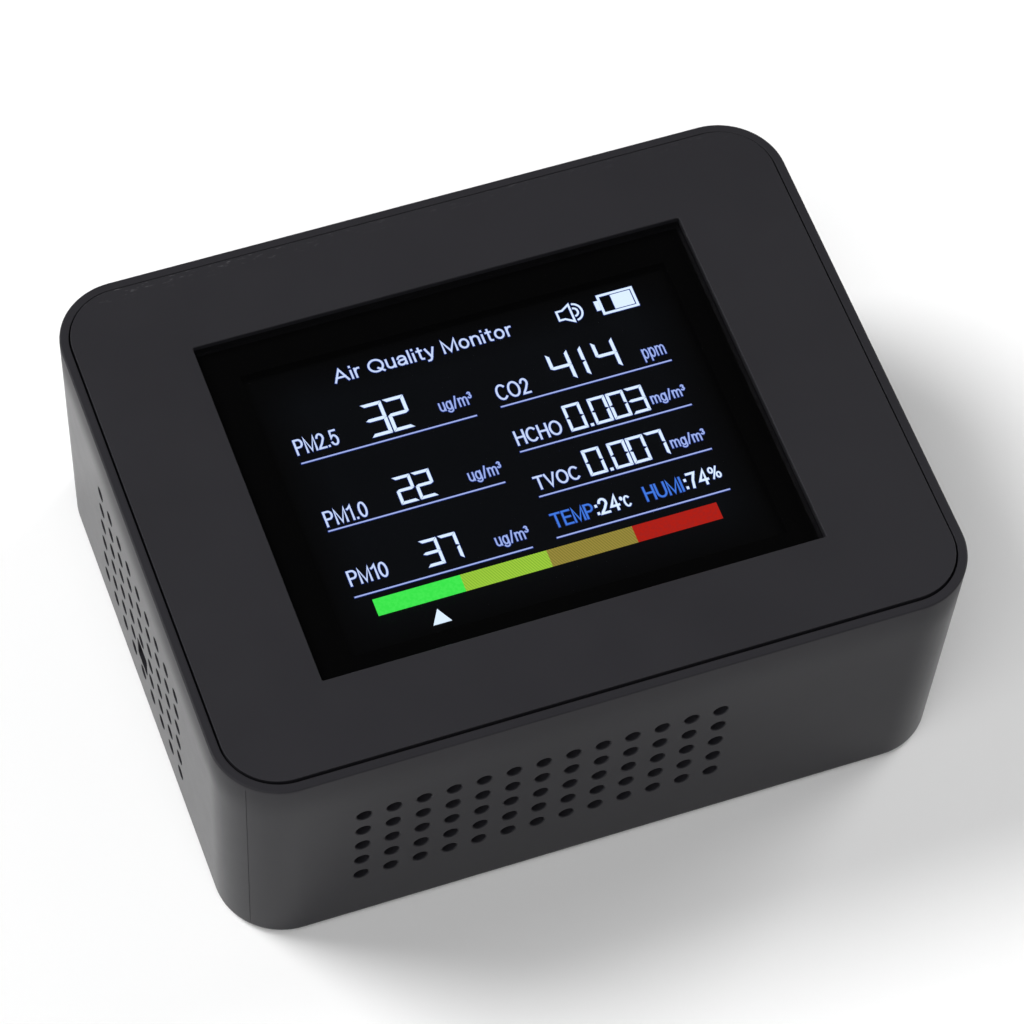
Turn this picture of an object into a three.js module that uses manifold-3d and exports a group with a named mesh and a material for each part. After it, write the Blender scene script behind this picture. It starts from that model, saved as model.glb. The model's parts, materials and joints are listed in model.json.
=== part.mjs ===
// Portable air quality monitor, lying on its back with the screen facing up.
// Millimetres. X runs along the long side, Y towards the back, Z up out of the screen.
// The origin is under the middle of the case, on the plane that the rubber feet rest on.

import * as THREE from 'three';
import { mergeGeometries, mergeVertices } from 'three/addons/utils/BufferGeometryUtils.js';
import Module from 'manifold-3d';

const wasm = await Module();
wasm.setup();

// ---- Driving dimensions ----

const CASE_WIDTH = 101;
const CASE_DEPTH = 80;
const CASE_HEIGHT = 38.5;
const CASE_CORNER = 9;
const DRAFT = 1.2 * Math.PI / 180;
const WALL = 2.4;
const FLOOR = 2.2;
const LIP = 1.25;
const FOOT_PROUD = 0.8;

const PANEL_THICKNESS = 2.5;
const PANEL_PROUD = 0.15;
const PANEL_SIDE_GAP = 0.25;
const PANEL_FRONT_GAP = 0.35;
const PANEL_BACK_GAP = 0.15;
const SEAT_GAP = 0.3;

const WINDOW = { x: -0.3, y: 0.2, width: 67.8, depth: 52.8 };
const LENS = { thickness: 1.2, recess: 0.5, edgeGap: 0.2, glueGap: 0.1, ledge: 3 };

const SCREEN = { x: 0.1, y: -0.8, width: 60.2, depth: 45.8, thickness: 1.9 };

const VENT_PITCH = 4;
const VENT_RADIUS = 1;
const VENT_SIDES = 8;
const FRONT_VENTS = { columns: 13, rows: 5, centre: -9.05 };
const SIDE_VENTS = { columns: 9, rows: 6, centre: 0.2 };
const TOP_VENT_ROW = 27.4;
const SOCKET_CELL = { column: 4, row: 4 };
const SOCKET_OPENING = 4;

const BUTTONS = { centres: [9, -9], z: 11.6, width: 8, height: 3.6, travel: 0.5, clearance: 0.25 };

const PILLAR = { x: 42.6, y: 32.1, radius: 3.7, well: 2.6, hole: 1.5, shoulder: 29.3, top: 31.5 };
const PANEL_POST = { radius: 3.1, pilot: 1.3 };
const STANDOFF = { x: 41.5, y: 22, radius: 3, pilot: 1 };
const DISPLAY_BOSS = { x: 37, y: 25.5, radius: 2.2, pilot: 1 };
const FOOT = { x: 31, y: 31.5, radius: 4.5, thickness: 1.55, recessGap: 0.2 };

const CASE_SCREW = { head: 1.8, headRadius: 2.3, radius: 1.15, shank: 6.6 };
const BOARD_SCREW = { head: 1.5, headRadius: 2.2, radius: 0.85, shank: 4.8 };
const DISPLAY_SCREW = { head: 1.3, headRadius: 1.9, radius: 0.9, shank: 4.4 };

const BOARD_THICKNESS = 1.6;
const BOARD_TOP = 8.3;
const MAIN_BOARD = { x: 46.3, y: 35.6, pillarGap: 0.6, holeGap: 0.3 };
const DISPLAY_BOARD_TOP = 32.8;
const TRAY = { wall: 0.5, overBoard: 0.2, underPanel: 0.25, notchDepth: 17 };
const RIBBON = { depth: 14, thickness: 0.25, rise: 0.9, landing: 4 };
const DISPLAY_PLUG = { x: -14, width: 20, y: 26.4, depth: 3.6, height: 4 };
const DISPLAY_HEADER = { x: -14, width: 20, y: 30.2, depth: 3.6, height: 4 };
const DISPLAY_LEAD_WIDTH = 17;
const BUZZER = { x: 9, y: 13, radius: 6, height: 8.5, hole: 1 };
const SOCKET_BODY = { length: 9, halfDepth: 3.2, overCentre: 2.8, mouth: 1.95, pin: 0.65 };
const BUTTON_PARTS = { proud: 0.05, flange: 1, flangeGap: 0.35, stemRadius: 1.1, stemLength: 2 };
const SWITCH = { length: 3.6, halfDepth: 3, overCentre: 2.2, bore: 1.4, gap: 0.3 };

const DUST = { width: 50, depth: 38, height: 20, wall: 1.2, front: -36.2, lift: 0.7 };
const DUST_FAN = { inset: 12.5, chamber: 10.5, radius: 8.8, hub: 4, shaft: 0.5, blades: 7, lean: 0.35 };
const DUST_CHAMBER_LIFT = 9;
const DUST_PATH_INSET = 26;
const GAS_BOARD = { x: -36, thickness: 1.2, halfDepth: 15, bottom: 15, top: 29 };
const FORMALDEHYDE = { y: 8.5, radius: 5.6, length: 5.5, hole: 1.2 };
const VAPOUR = { y: -4.5, radius: 4.6, length: 6.2, flange: 1.4 };
const CLIMATE = { y: -12, halfDepth: 2.4, halfHeight: 4, length: 4, slotPitch: 2.4 };
const CO2 = { x0: -33.4, x1: -0.4, y0: 5.2, y1: 23.6, lift: 1, height: 9, board: 1.4 };
const CO2_FILTER = { width: 22, depth: 9, thickness: 0.5, sunk: 0.2 };
const BATTERY = { x: 28, radius: 9.2, halfLength: 32.4, capRadius: 3, cap: 0.8, lift: 1 };
const BATTERY_PLUG = { x0: 16.2, x1: 19, y0: 29.2, y1: 33.6, height: 4.7 };
const LEAD_RADIUS = 0.55;

// ---- Levels and half sizes that follow from them ----

const HALF_WIDTH = CASE_WIDTH / 2;
const HALF_DEPTH = CASE_DEPTH / 2;
const CASE_BOTTOM = FOOT_PROUD;
const RIM_TOP = CASE_BOTTOM + CASE_HEIGHT;
const FLOOR_TOP = CASE_BOTTOM + FLOOR;
const PANEL_TOP = RIM_TOP + PANEL_PROUD;
const PANEL_UNDERSIDE = PANEL_TOP - PANEL_THICKNESS;
const SEAT = PANEL_UNDERSIDE - SEAT_GAP;
const LENS_TOP = PANEL_TOP - LENS.recess;
const LENS_UNDERSIDE = LENS_TOP - LENS.thickness;
const SCREEN_TOP = PANEL_UNDERSIDE - 0.15;
const BOARD_BOTTOM = BOARD_TOP - BOARD_THICKNESS;
const ON_BOARD = BOARD_TOP + 0.1;
const CUT = 0.5;
const GAP = 0.3;
const TOUCH = 0.1;

const wallX = (z) => HALF_WIDTH - (RIM_TOP - z) * Math.tan(DRAFT);

// ---- Materials ----

const material = (color, roughness, metalness = 0) =>
  new THREE.MeshStandardMaterial({ color, roughness, metalness });

const MATERIALS = {
  case: material(0x333336, 0.45),
  panel: material(0x2f2e32, 0.55),
  lens: material(0x050506, 0.06),
  screen: material(0x0b0d12, 0.3),
  diffuser: material(0xe8ebee, 0.6),
  steel: material(0xb9bcc0, 0.35, 1),
  screw: material(0x55575a, 0.35, 1),
  rubber: material(0x17171a, 0.85),
  board: material(0x14532f, 0.5),
  chip: material(0x121314, 0.5),
  button: material(0x29292c, 0.5),
  blackPlastic: material(0x1a1a1c, 0.5),
  sensorBlue: material(0x2b5fa8, 0.5),
  brass: material(0xb08d3c, 0.35, 1),
  whitePlastic: material(0xe4e4df, 0.6),
  cell: material(0x2a7bc0, 0.45),
  foam: material(0x303033, 0.95),
  redWire: material(0xa31c1c, 0.5),
  blackWire: material(0x131315, 0.5),
  ribbon: material(0xc98a35, 0.45),
};

// ---- Shape helpers ----

/** A box between two opposite corners. */
function block(x0, x1, y0, y1, z0, z1) {
  const geometry = new THREE.BoxGeometry(x1 - x0, y1 - y0, z1 - z0);
  return geometry.translate((x0 + x1) / 2, (y0 + y1) / 2, (z0 + z1) / 2);
}

/** A box centred on x and y, between two levels. */
function slab(x, y, width, depth, z0, z1) {
  return block(x - width / 2, x + width / 2, y - depth / 2, y + depth / 2, z0, z1);
}

/** An upright cylinder between two levels. */
function post(x, y, radius, z0, z1, sides = 20) {
  const geometry = new THREE.CylinderGeometry(radius, radius, z1 - z0, sides);
  return geometry.rotateX(Math.PI / 2).translate(x, y, (z0 + z1) / 2);
}

/** A cylinder lying along X. */
function rodX(y, z, radius, x0, x1, sides = 20) {
  const geometry = new THREE.CylinderGeometry(radius, radius, x1 - x0, sides);
  return geometry.rotateZ(Math.PI / 2).translate((x0 + x1) / 2, y, z);
}

/** A cylinder lying along Y. */
function rodY(x, z, radius, y0, y1, sides = 20) {
  const geometry = new THREE.CylinderGeometry(radius, radius, y1 - y0, sides);
  return geometry.translate(x, (y0 + y1) / 2, z);
}

/** The outline of a rectangle with rounded corners, centred on the origin. */
function roundedRectangle(width, depth, radius) {
  const x = width / 2;
  const y = depth / 2;
  const shape = new THREE.Shape();
  shape.moveTo(x, radius - y);
  shape.absarc(x - radius, y - radius, radius, 0, Math.PI / 2);
  shape.absarc(radius - x, y - radius, radius, Math.PI / 2, Math.PI);
  shape.absarc(radius - x, radius - y, radius, Math.PI, Math.PI * 1.5);
  shape.absarc(x - radius, radius - y, radius, Math.PI * 1.5, Math.PI * 2);
  return shape;
}

/** A plate with rounded corners between two levels. */
function plate(x, y, width, depth, radius, z0, z1, curveSegments = 4) {
  const shape = roundedRectangle(width, depth, radius);
  const options = { depth: z1 - z0, bevelEnabled: false, curveSegments };
  return new THREE.ExtrudeGeometry(shape, options).translate(x, y, z0);
}

/** Draws a plate's walls in towards its foot by the mould draft, measured down from the rim. */
function drafted(geometry, halfWidth, halfDepth) {
  const position = geometry.getAttribute('position');
  for (let i = 0; i < position.count; i += 1) {
    const inset = (RIM_TOP - position.getZ(i)) * Math.tan(DRAFT);
    const x = position.getX(i) * (1 - inset / halfWidth);
    const y = position.getY(i) * (1 - inset / halfDepth);
    position.setXY(i, x, y);
  }
  return geometry;
}

/** A section pushed along a path, as a wire is. */
function wire(points, radius, steps) {
  const section = new THREE.Shape();
  section.absarc(0, 0, radius, 0, Math.PI * 2);
  const path = new THREE.CatmullRomCurve3(points.map((point) => new THREE.Vector3(...point)));
  return new THREE.ExtrudeGeometry(section, {
    extrudePath: path,
    steps,
    curveSegments: 4,
    bevelEnabled: false,
  });
}

/** A strip of even thickness that follows an outline in the YZ plane, as wide as x0 to x1. */
function stripYZ(outline, x0, x1) {
  const shape = new THREE.Shape(outline.map(([y, z]) => new THREE.Vector2(y, z)));
  const geometry = new THREE.ExtrudeGeometry(shape, { depth: x1 - x0, bevelEnabled: false });
  const turn = new THREE.Matrix4().set(0, 0, 1, x0, 1, 0, 0, 0, 0, 1, 0, 0, 0, 0, 0, 1);
  return geometry.applyMatrix4(turn);
}

function toManifold(geometry) {
  const bare = geometry.clone();
  bare.deleteAttribute('normal');
  bare.deleteAttribute('uv');
  const welded = mergeVertices(bare, 1e-4);
  return new wasm.Manifold(new wasm.Mesh({
    numProp: 3,
    vertProperties: new Float32Array(welded.getAttribute('position').array),
    triVerts: new Uint32Array(welded.index.array),
  }));
}

function toGeometry(manifold) {
  const mesh = manifold.getMesh();
  const geometry = new THREE.BufferGeometry();
  geometry.setAttribute('position', new THREE.BufferAttribute(mesh.vertProperties, 3));
  geometry.setIndex(new THREE.BufferAttribute(mesh.triVerts, 1));
  geometry.computeVertexNormals();
  return geometry;
}

/** Joins the solids in `added` and takes the ones in `removed` away. */
function carve(added, removed = []) {
  let body = toManifold(added[0]);
  for (const geometry of added.slice(1)) {
    body = body.add(toManifold(geometry));
  }
  for (const geometry of removed) {
    body = body.subtract(toManifold(geometry));
  }
  return toGeometry(body);
}

const monitor = new THREE.Group();

function add(name, geometry, materialUsed) {
  const mesh = new THREE.Mesh(geometry, materialUsed);
  mesh.name = name;
  monitor.add(mesh);
}

/** Calls back with each corner of a rectangle, counted from 1. */
function corners(place, callback) {
  const signs = [[-1, -1], [1, -1], [1, 1], [-1, 1]];
  signs.forEach(([sx, sy], i) => callback(sx * place.x, sy * place.y, i + 1));
}

// ---- Case: a drafted tub with a lip round its mouth, vents, pillars and standoffs ----

function frontVentCutters() {
  const cutters = [];
  const first = FRONT_VENTS.centre - (FRONT_VENTS.columns - 1) * VENT_PITCH / 2;
  for (let column = 0; column < FRONT_VENTS.columns; column += 1) {
    for (let row = 0; row < FRONT_VENTS.rows; row += 1) {
      const x = first + column * VENT_PITCH;
      const z = TOP_VENT_ROW - row * VENT_PITCH;
      cutters.push(rodY(x, z, VENT_RADIUS, -HALF_DEPTH - 1, -HALF_DEPTH + 2 * WALL, VENT_SIDES));
    }
  }
  return cutters;
}

function sideVentCutters() {
  const cutters = [];
  const first = SIDE_VENTS.centre + (SIDE_VENTS.columns - 1) * VENT_PITCH / 2;
  for (let column = 0; column < SIDE_VENTS.columns; column += 1) {
    for (let row = 0; row < SIDE_VENTS.rows; row += 1) {
      const isSocket = column === SOCKET_CELL.column && row === SOCKET_CELL.row;
      if (!isSocket) {
        const y = first - column * VENT_PITCH;
        const z = TOP_VENT_ROW - row * VENT_PITCH;
        cutters.push(rodX(y, z, VENT_RADIUS, -HALF_WIDTH - 1, -HALF_WIDTH + 2 * WALL, VENT_SIDES));
      }
    }
  }
  return cutters;
}

const SOCKET = {
  y: SIDE_VENTS.centre + ((SIDE_VENTS.columns - 1) / 2 - SOCKET_CELL.column) * VENT_PITCH,
  z: TOP_VENT_ROW - SOCKET_CELL.row * VENT_PITCH,
};

/** A rounded bar along X, as wide and high as a button, grown by a clearance. */
function buttonBar(y, grow, x0, x1) {
  const width = BUTTONS.width + 2 * grow;
  const height = BUTTONS.height + 2 * grow;
  const bar = plate(0, 0, width, height, height / 2, 0, x1 - x0, 3);
  const turn = new THREE.Matrix4().set(0, 0, 1, x0, 1, 0, 0, y, 0, 1, 0, BUTTONS.z, 0, 0, 0, 1);
  return bar.applyMatrix4(turn);
}

function caseShell() {
  const innerCorner = CASE_CORNER - WALL;
  const outside = drafted(
    plate(0, 0, CASE_WIDTH, CASE_DEPTH, CASE_CORNER, CASE_BOTTOM, RIM_TOP),
    HALF_WIDTH,
    HALF_DEPTH,
  );
  const hollow = drafted(
    plate(0, 0, CASE_WIDTH - 2 * WALL, CASE_DEPTH - 2 * WALL, innerCorner, FLOOR_TOP, RIM_TOP + CUT),
    HALF_WIDTH - WALL,
    HALF_DEPTH - WALL,
  );
  const mouth = plate(
    0, 0, CASE_WIDTH - 2 * LIP, CASE_DEPTH - 2 * LIP, CASE_CORNER - LIP, SEAT, RIM_TOP + CUT,
  );
  const socketOpening = block(
    -HALF_WIDTH - 1,
    -HALF_WIDTH + 2 * WALL,
    SOCKET.y - SOCKET_OPENING / 2,
    SOCKET.y + SOCKET_OPENING / 2,
    SOCKET.z - SOCKET_OPENING / 2,
    SOCKET.z + SOCKET_OPENING / 2,
  );
  const vents = mergeGeometries([...frontVentCutters(), ...sideVentCutters()]);
  const added = [];
  const removed = [vents, socketOpening];
  for (const y of BUTTONS.centres) {
    removed.push(buttonBar(y, BUTTONS.clearance, HALF_WIDTH - 2 * WALL, HALF_WIDTH + 1));
  }
  corners(PILLAR, (x, y) => {
    added.push(post(x, y, PILLAR.radius, FLOOR_TOP - CUT, PILLAR.top));
    removed.push(post(x, y, PILLAR.well, CASE_BOTTOM - CUT, PILLAR.shoulder));
    removed.push(post(x, y, PILLAR.hole, PILLAR.shoulder - CUT, PILLAR.top + CUT));
  });
  corners(STANDOFF, (x, y) => {
    added.push(post(x, y, STANDOFF.radius, FLOOR_TOP - CUT, BOARD_BOTTOM - 0.1));
    removed.push(post(x, y, STANDOFF.pilot, FLOOR_TOP, BOARD_BOTTOM + CUT, 12));
  });
  corners(FOOT, (x, y) => {
    const recessTop = FOOT.thickness + 0.05;
    removed.push(post(x, y, FOOT.radius + FOOT.recessGap, CASE_BOTTOM - CUT, recessTop));
  });
  const tub = carve([outside], [hollow, mouth]);
  return carve([tub, ...added], removed);
}

// ---- Front panel, set into the mouth of the case, with the window in it ----

function frontPanel() {
  const inner = HALF_DEPTH - LIP;
  const front = -inner + PANEL_FRONT_GAP;
  const back = inner - PANEL_BACK_GAP;
  const width = CASE_WIDTH - 2 * (LIP + PANEL_SIDE_GAP);
  const sheet = plate(
    0, (front + back) / 2, width, back - front, CASE_CORNER - LIP - PANEL_SIDE_GAP,
    PANEL_UNDERSIDE, PANEL_TOP,
  );
  const ledgeTop = LENS_UNDERSIDE - LENS.glueGap;
  const seat = slab(WINDOW.x, WINDOW.y, WINDOW.width, WINDOW.depth, ledgeTop, PANEL_TOP + CUT);
  const opening = slab(
    WINDOW.x,
    WINDOW.y,
    WINDOW.width - 2 * LENS.ledge,
    WINDOW.depth - 2 * LENS.ledge,
    PANEL_UNDERSIDE - CUT,
    PANEL_TOP + CUT,
  );
  const added = [sheet];
  const removed = [seat, opening];
  corners(PILLAR, (x, y) => {
    added.push(post(x, y, PANEL_POST.radius, PILLAR.top + GAP, PANEL_UNDERSIDE + CUT));
    removed.push(post(x, y, PANEL_POST.pilot, PILLAR.top - CUT, PANEL_UNDERSIDE, 12));
  });
  corners(DISPLAY_BOSS, (x, y) => {
    const foot = DISPLAY_BOARD_TOP + TOUCH;
    added.push(post(x, y, DISPLAY_BOSS.radius, foot, PANEL_UNDERSIDE + CUT, 16));
    removed.push(post(x, y, DISPLAY_BOSS.pilot, DISPLAY_BOARD_TOP - CUT, PANEL_UNDERSIDE, 12));
  });
  return carve(added, removed);
}

/** Two levels, the lower one first. */
const inOrder = (a, b) => [Math.min(a, b), Math.max(a, b)];

/** A pan-head screw with a cross slot. Its shank points up for `up` = 1 and down for `up` = -1. */
function panScrew(x, y, headStart, up, size) {
  const headEnd = headStart + up * size.head;
  const shankLevels = inOrder(headEnd - up * size.head / 2, headEnd + up * size.shank);
  const slotLevels = inOrder(headStart - up * CUT, headStart + up * size.head * 0.45);
  const slotLength = size.headRadius * 1.1;
  const slotWidth = size.headRadius * 0.25;
  const head = post(x, y, size.headRadius, ...inOrder(headStart, headEnd));
  const shank = post(x, y, size.radius, ...shankLevels, 12);
  const across = slab(x, y, slotLength, slotWidth, ...slotLevels);
  const along = slab(x, y, slotWidth, slotLength, ...slotLevels);
  return carve([head, shank], [across, along]);
}

// ---- Display stack, fixed under the panel ----

const DISPLAY_BOARD_BOTTOM = DISPLAY_BOARD_TOP - BOARD_THICKNESS;

function addDisplay() {
  const { x, y, width, depth } = SCREEN;
  const trayWidth = width + 2 * (GAP + TRAY.wall);
  const trayDepth = depth + 2 * (GAP + TRAY.wall);
  const trayBottom = DISPLAY_BOARD_TOP + TRAY.overBoard;
  const trayFloor = trayBottom + TRAY.wall;
  const trayTop = PANEL_UNDERSIDE - TRAY.underPanel;
  const screenBottom = SCREEN_TOP - SCREEN.thickness;
  const lightGap = 0.2;
  const lightBottom = trayFloor + lightGap;
  const lightTop = screenBottom - lightGap;

  add('display_glass', slab(x, y, width, depth, screenBottom, SCREEN_TOP), MATERIALS.screen);
  add('display_backlight', slab(x, y, width - 1, depth - 1, lightBottom, lightTop), MATERIALS.diffuser);

  const trayOutside = slab(x, y, trayWidth, trayDepth, trayBottom, trayTop);
  const trayInside = slab(x, y, width + 2 * GAP, depth + 2 * GAP, trayFloor, PANEL_TOP);
  const trayEdge = x + trayWidth / 2;
  const notch = slab(trayEdge, 0, 2, TRAY.notchDepth, trayFloor + 0.6, PANEL_TOP);
  add('display_frame', carve([trayOutside], [trayInside, notch]), MATERIALS.steel);

  const board = plate(
    0, 0, 2 * DISPLAY_BOSS.x + 6, 2 * DISPLAY_BOSS.y + 6, 2, DISPLAY_BOARD_BOTTOM, DISPLAY_BOARD_TOP, 3,
  );
  const holes = [];
  corners(DISPLAY_BOSS, (px, py) => {
    const radius = DISPLAY_BOSS.pilot + 0.25;
    holes.push(post(px, py, radius, DISPLAY_BOARD_BOTTOM - CUT, DISPLAY_BOARD_TOP + CUT, 12));
  });
  add('display_board', carve([board], holes), MATERIALS.board);
  addRibbon(trayEdge + lightGap, trayFloor + RIBBON.rise + CUT);

  corners(DISPLAY_BOSS, (px, py, i) => {
    const headStart = DISPLAY_BOARD_BOTTOM - TOUCH - DISPLAY_SCREW.head;
    add(`display_screw_${i}`, panScrew(px, py, headStart, 1, DISPLAY_SCREW), MATERIALS.screw);
  });
}

/** The flat ribbon from the glass, over the tray's edge and down onto the display board. */
function addRibbon(edge, height) {
  const low = DISPLAY_BOARD_TOP + TOUCH;
  const { thickness, landing, depth } = RIBBON;
  const outline = [
    [edge - 1, height],
    [edge + 0.8, height],
    [edge + 2.2, low],
    [edge + landing, low],
    [edge + landing, low + thickness],
    [edge + 2.35, low + thickness],
    [edge + 0.95, height + thickness],
    [edge - 1, height + thickness],
  ];
  const shape = new THREE.Shape(outline.map(([x, z]) => new THREE.Vector2(x, z)));
  const geometry = new THREE.ExtrudeGeometry(shape, { depth, bevelEnabled: false });
  add('display_ribbon', geometry.rotateX(Math.PI / 2).translate(0, depth / 2, 0), MATERIALS.ribbon);
}

/** The flat lead between the display board and the main board, with its plug and header. */
function addDisplayLead() {
  const plug = DISPLAY_PLUG;
  const plugTop = DISPLAY_BOARD_BOTTOM - TOUCH;
  const plugBottom = plugTop - plug.height;
  add('display_lead_plug', slab(plug.x, plug.y, plug.width, plug.depth, plugBottom, plugTop),
    MATERIALS.whitePlastic);
  const header = DISPLAY_HEADER;
  const headerTop = ON_BOARD + header.height;
  add('display_lead_header', slab(header.x, header.y, header.width, header.depth, ON_BOARD, headerTop),
    MATERIALS.whitePlastic);
  const leadTop = plugBottom - GAP;
  const leadBottom = headerTop + GAP;
  const x0 = plug.x - DISPLAY_LEAD_WIDTH / 2;
  add('display_lead', stripYZ([
    [26, leadTop],
    [26.8, leadTop],
    [27.4, 22],
    [30.6, 16.5],
    [30.8, leadBottom],
    [30, leadBottom],
    [29.8, 16.2],
    [26.6, 21.7],
  ], x0, x0 + DISPLAY_LEAD_WIDTH), MATERIALS.ribbon);
}

// ---- Main board with the charging socket, switches, buzzer and chips ----

function addMainBoard() {
  const { x, y } = MAIN_BOARD;
  const notchX = PILLAR.x - PILLAR.radius - MAIN_BOARD.pillarGap;
  const notchY = PILLAR.y - PILLAR.radius - MAIN_BOARD.pillarGap;
  const outline = new THREE.Shape([
    [-notchX, -y], [notchX, -y], [notchX, -notchY], [x, -notchY],
    [x, notchY], [notchX, notchY], [notchX, y], [-notchX, y],
    [-notchX, notchY], [-x, notchY], [-x, -notchY], [-notchX, -notchY],
  ].map(([px, py]) => new THREE.Vector2(px, py)));
  const sheet = new THREE.ExtrudeGeometry(outline, { depth: BOARD_THICKNESS, bevelEnabled: false });
  const holes = [];
  corners(STANDOFF, (px, py) => {
    const radius = STANDOFF.pilot + MAIN_BOARD.holeGap;
    holes.push(post(px, py, radius, BOARD_BOTTOM - CUT, BOARD_TOP + CUT, 12));
  });
  add('main_board', carve([sheet.translate(0, 0, BOARD_BOTTOM)], holes), MATERIALS.board);

  corners(STANDOFF, (px, py, i) => {
    const headStart = ON_BOARD + BOARD_SCREW.head;
    add(`board_screw_${i}`, panScrew(px, py, headStart, -1, BOARD_SCREW), MATERIALS.screw);
  });

  add('controller_chip', slab(9, 27, 10, 10, ON_BOARD, ON_BOARD + 1.4), MATERIALS.chip);
  add('charger_chip', slab(-43.5, 8, 5, 4, ON_BOARD, ON_BOARD + 1.5), MATERIALS.chip);
  const buzzerTop = ON_BOARD + BUZZER.height;
  const can = post(BUZZER.x, BUZZER.y, BUZZER.radius, ON_BOARD, buzzerTop, 32);
  const hole = post(BUZZER.x, BUZZER.y, BUZZER.hole, ON_BOARD + 5, buzzerTop + CUT, 16);
  add('buzzer', carve([can], [hole]), MATERIALS.blackPlastic);
}

function addChargingSocket() {
  const front = -wallX(SOCKET.z) + WALL + GAP;
  const back = front + SOCKET_BODY.length;
  const top = SOCKET.z + SOCKET_BODY.overCentre;
  const { halfDepth } = SOCKET_BODY;
  const body = block(front, back, SOCKET.y - halfDepth, SOCKET.y + halfDepth, ON_BOARD, top);
  const mouth = rodX(SOCKET.y, SOCKET.z, SOCKET_BODY.mouth, front - 1, back - 1.5);
  add('charging_socket', carve([body], [mouth]), MATERIALS.blackPlastic);
  const pin = rodX(SOCKET.y, SOCKET.z, SOCKET_BODY.pin, front + 0.8, back - 1.6, 16);
  add('charging_socket_pin', pin, MATERIALS.steel);
}

function addButtons() {
  const names = ['power', 'sound'];
  const outer = HALF_WIDTH - BUTTON_PARTS.proud;
  const flangeOuter = wallX(BUTTONS.z) - WALL - BUTTON_PARTS.flangeGap;
  const flangeInner = flangeOuter - BUTTON_PARTS.flange;
  const stemEnd = flangeInner - BUTTON_PARTS.stemLength;
  const switchFront = flangeInner - BUTTONS.travel - SWITCH.gap;
  const switchBack = switchFront - SWITCH.length;
  const switchTop = BUTTONS.z + SWITCH.overCentre;
  const boreEnd = stemEnd - BUTTONS.travel - 0.4;
  BUTTONS.centres.forEach((y, i) => {
    const cap = buttonBar(y, 0, flangeOuter - CUT, outer);
    const flange = buttonBar(y, BUTTON_PARTS.flange, flangeInner, flangeOuter);
    const stem = rodX(y, BUTTONS.z, BUTTON_PARTS.stemRadius, stemEnd, flangeInner + CUT, 16);
    add(`${names[i]}_button`, carve([cap, flange, stem]), MATERIALS.button);
    const body = block(
      switchBack, switchFront, y - SWITCH.halfDepth, y + SWITCH.halfDepth, ON_BOARD, switchTop,
    );
    const bore = rodX(y, BUTTONS.z, SWITCH.bore, boreEnd, switchFront + 1, 16);
    add(`${names[i]}_switch`, carve([body], [bore]), MATERIALS.blackPlastic);
  });
}

// ---- Laser dust sensor with its fan, behind the front vents ----

const DUST_BOX = {
  x0: FRONT_VENTS.centre - DUST.width / 2,
  x1: FRONT_VENTS.centre + DUST.width / 2,
  y0: DUST.front,
  y1: DUST.front + DUST.depth,
  bottom: BOARD_TOP + DUST.lift,
  top: BOARD_TOP + DUST.lift + DUST.height,
};
const FAN = {
  x: DUST_BOX.x1 - DUST_FAN.inset,
  y: DUST_BOX.y1 - DUST_FAN.inset,
  floor: DUST_BOX.bottom + DUST_CHAMBER_LIFT,
};

function addDustHousing() {
  const { x0, x1, y0, y1, bottom, top } = DUST_BOX;
  const { wall } = DUST;
  const middleX = (x0 + x1) / 2;
  const middleY = (y0 + y1) / 2;
  const pad = slab(middleX, middleY, 36, 24, ON_BOARD, bottom - TOUCH);
  add('dust_sensor_pad', pad, MATERIALS.foam);

  const outside = block(x0, x1, y0, y1, bottom, top);
  const airPath = block(x0 + wall, x1 - DUST_PATH_INSET, y0 + wall, y1 - wall, bottom + wall, top + 1);
  const crossPath = block(x0 + wall, FAN.x, y1 - 12, y1 - wall, FAN.floor, top + 1);
  const chamber = post(FAN.x, FAN.y, DUST_FAN.chamber, FAN.floor, top + 1, 32);
  const outlet = block(FAN.x - 5, FAN.x + 9, y0 - 1, FAN.y, FAN.floor, top - 4);
  const inlets = [0, 1, 2, 3].map((i) => {
    const x = x0 + 6 + i * 4.5;
    return rodY(x, bottom + 10, 1.5, y0 - 1, y0 + 3, 12);
  });
  add('dust_sensor_case', carve([outside], [airPath, crossPath, chamber, outlet, ...inlets]),
    MATERIALS.sensorBlue);
  const cover = plate(middleX, middleY, DUST.width, DUST.depth, 1, top + TOUCH, top + 0.5, 3);
  add('dust_sensor_cover', cover, MATERIALS.steel);
}

function addDustFan() {
  const motorTop = FAN.floor + 2.6;
  add('dust_sensor_fan_motor', carve(
    [post(FAN.x, FAN.y, 3.4, FAN.floor + TOUCH, motorTop)],
    [post(FAN.x, FAN.y, DUST_FAN.shaft + TOUCH, FAN.floor - 1, motorTop + 1, 12)],
  ), MATERIALS.brass);
  const rotorBottom = motorTop + 0.4;
  const rotorTop = DUST_BOX.top - 0.8;
  const rotor = [
    post(FAN.x, FAN.y, DUST_FAN.hub, rotorBottom, rotorTop, 24),
    post(FAN.x, FAN.y, DUST_FAN.shaft, FAN.floor + 0.6, rotorBottom + CUT, 12),
  ];
  for (let i = 0; i < DUST_FAN.blades; i += 1) {
    const blade = block(
      DUST_FAN.hub - CUT, DUST_FAN.radius, -0.35, 0.35, rotorBottom + 0.5, rotorTop - 0.3,
    );
    blade.rotateZ(DUST_FAN.lean).translate(-0.8, 0, 0);
    blade.rotateZ(i * 2 * Math.PI / DUST_FAN.blades).translate(FAN.x, FAN.y, 0);
    rotor.push(blade);
  }
  add('dust_sensor_fan', carve(rotor), MATERIALS.blackPlastic);
}

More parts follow.
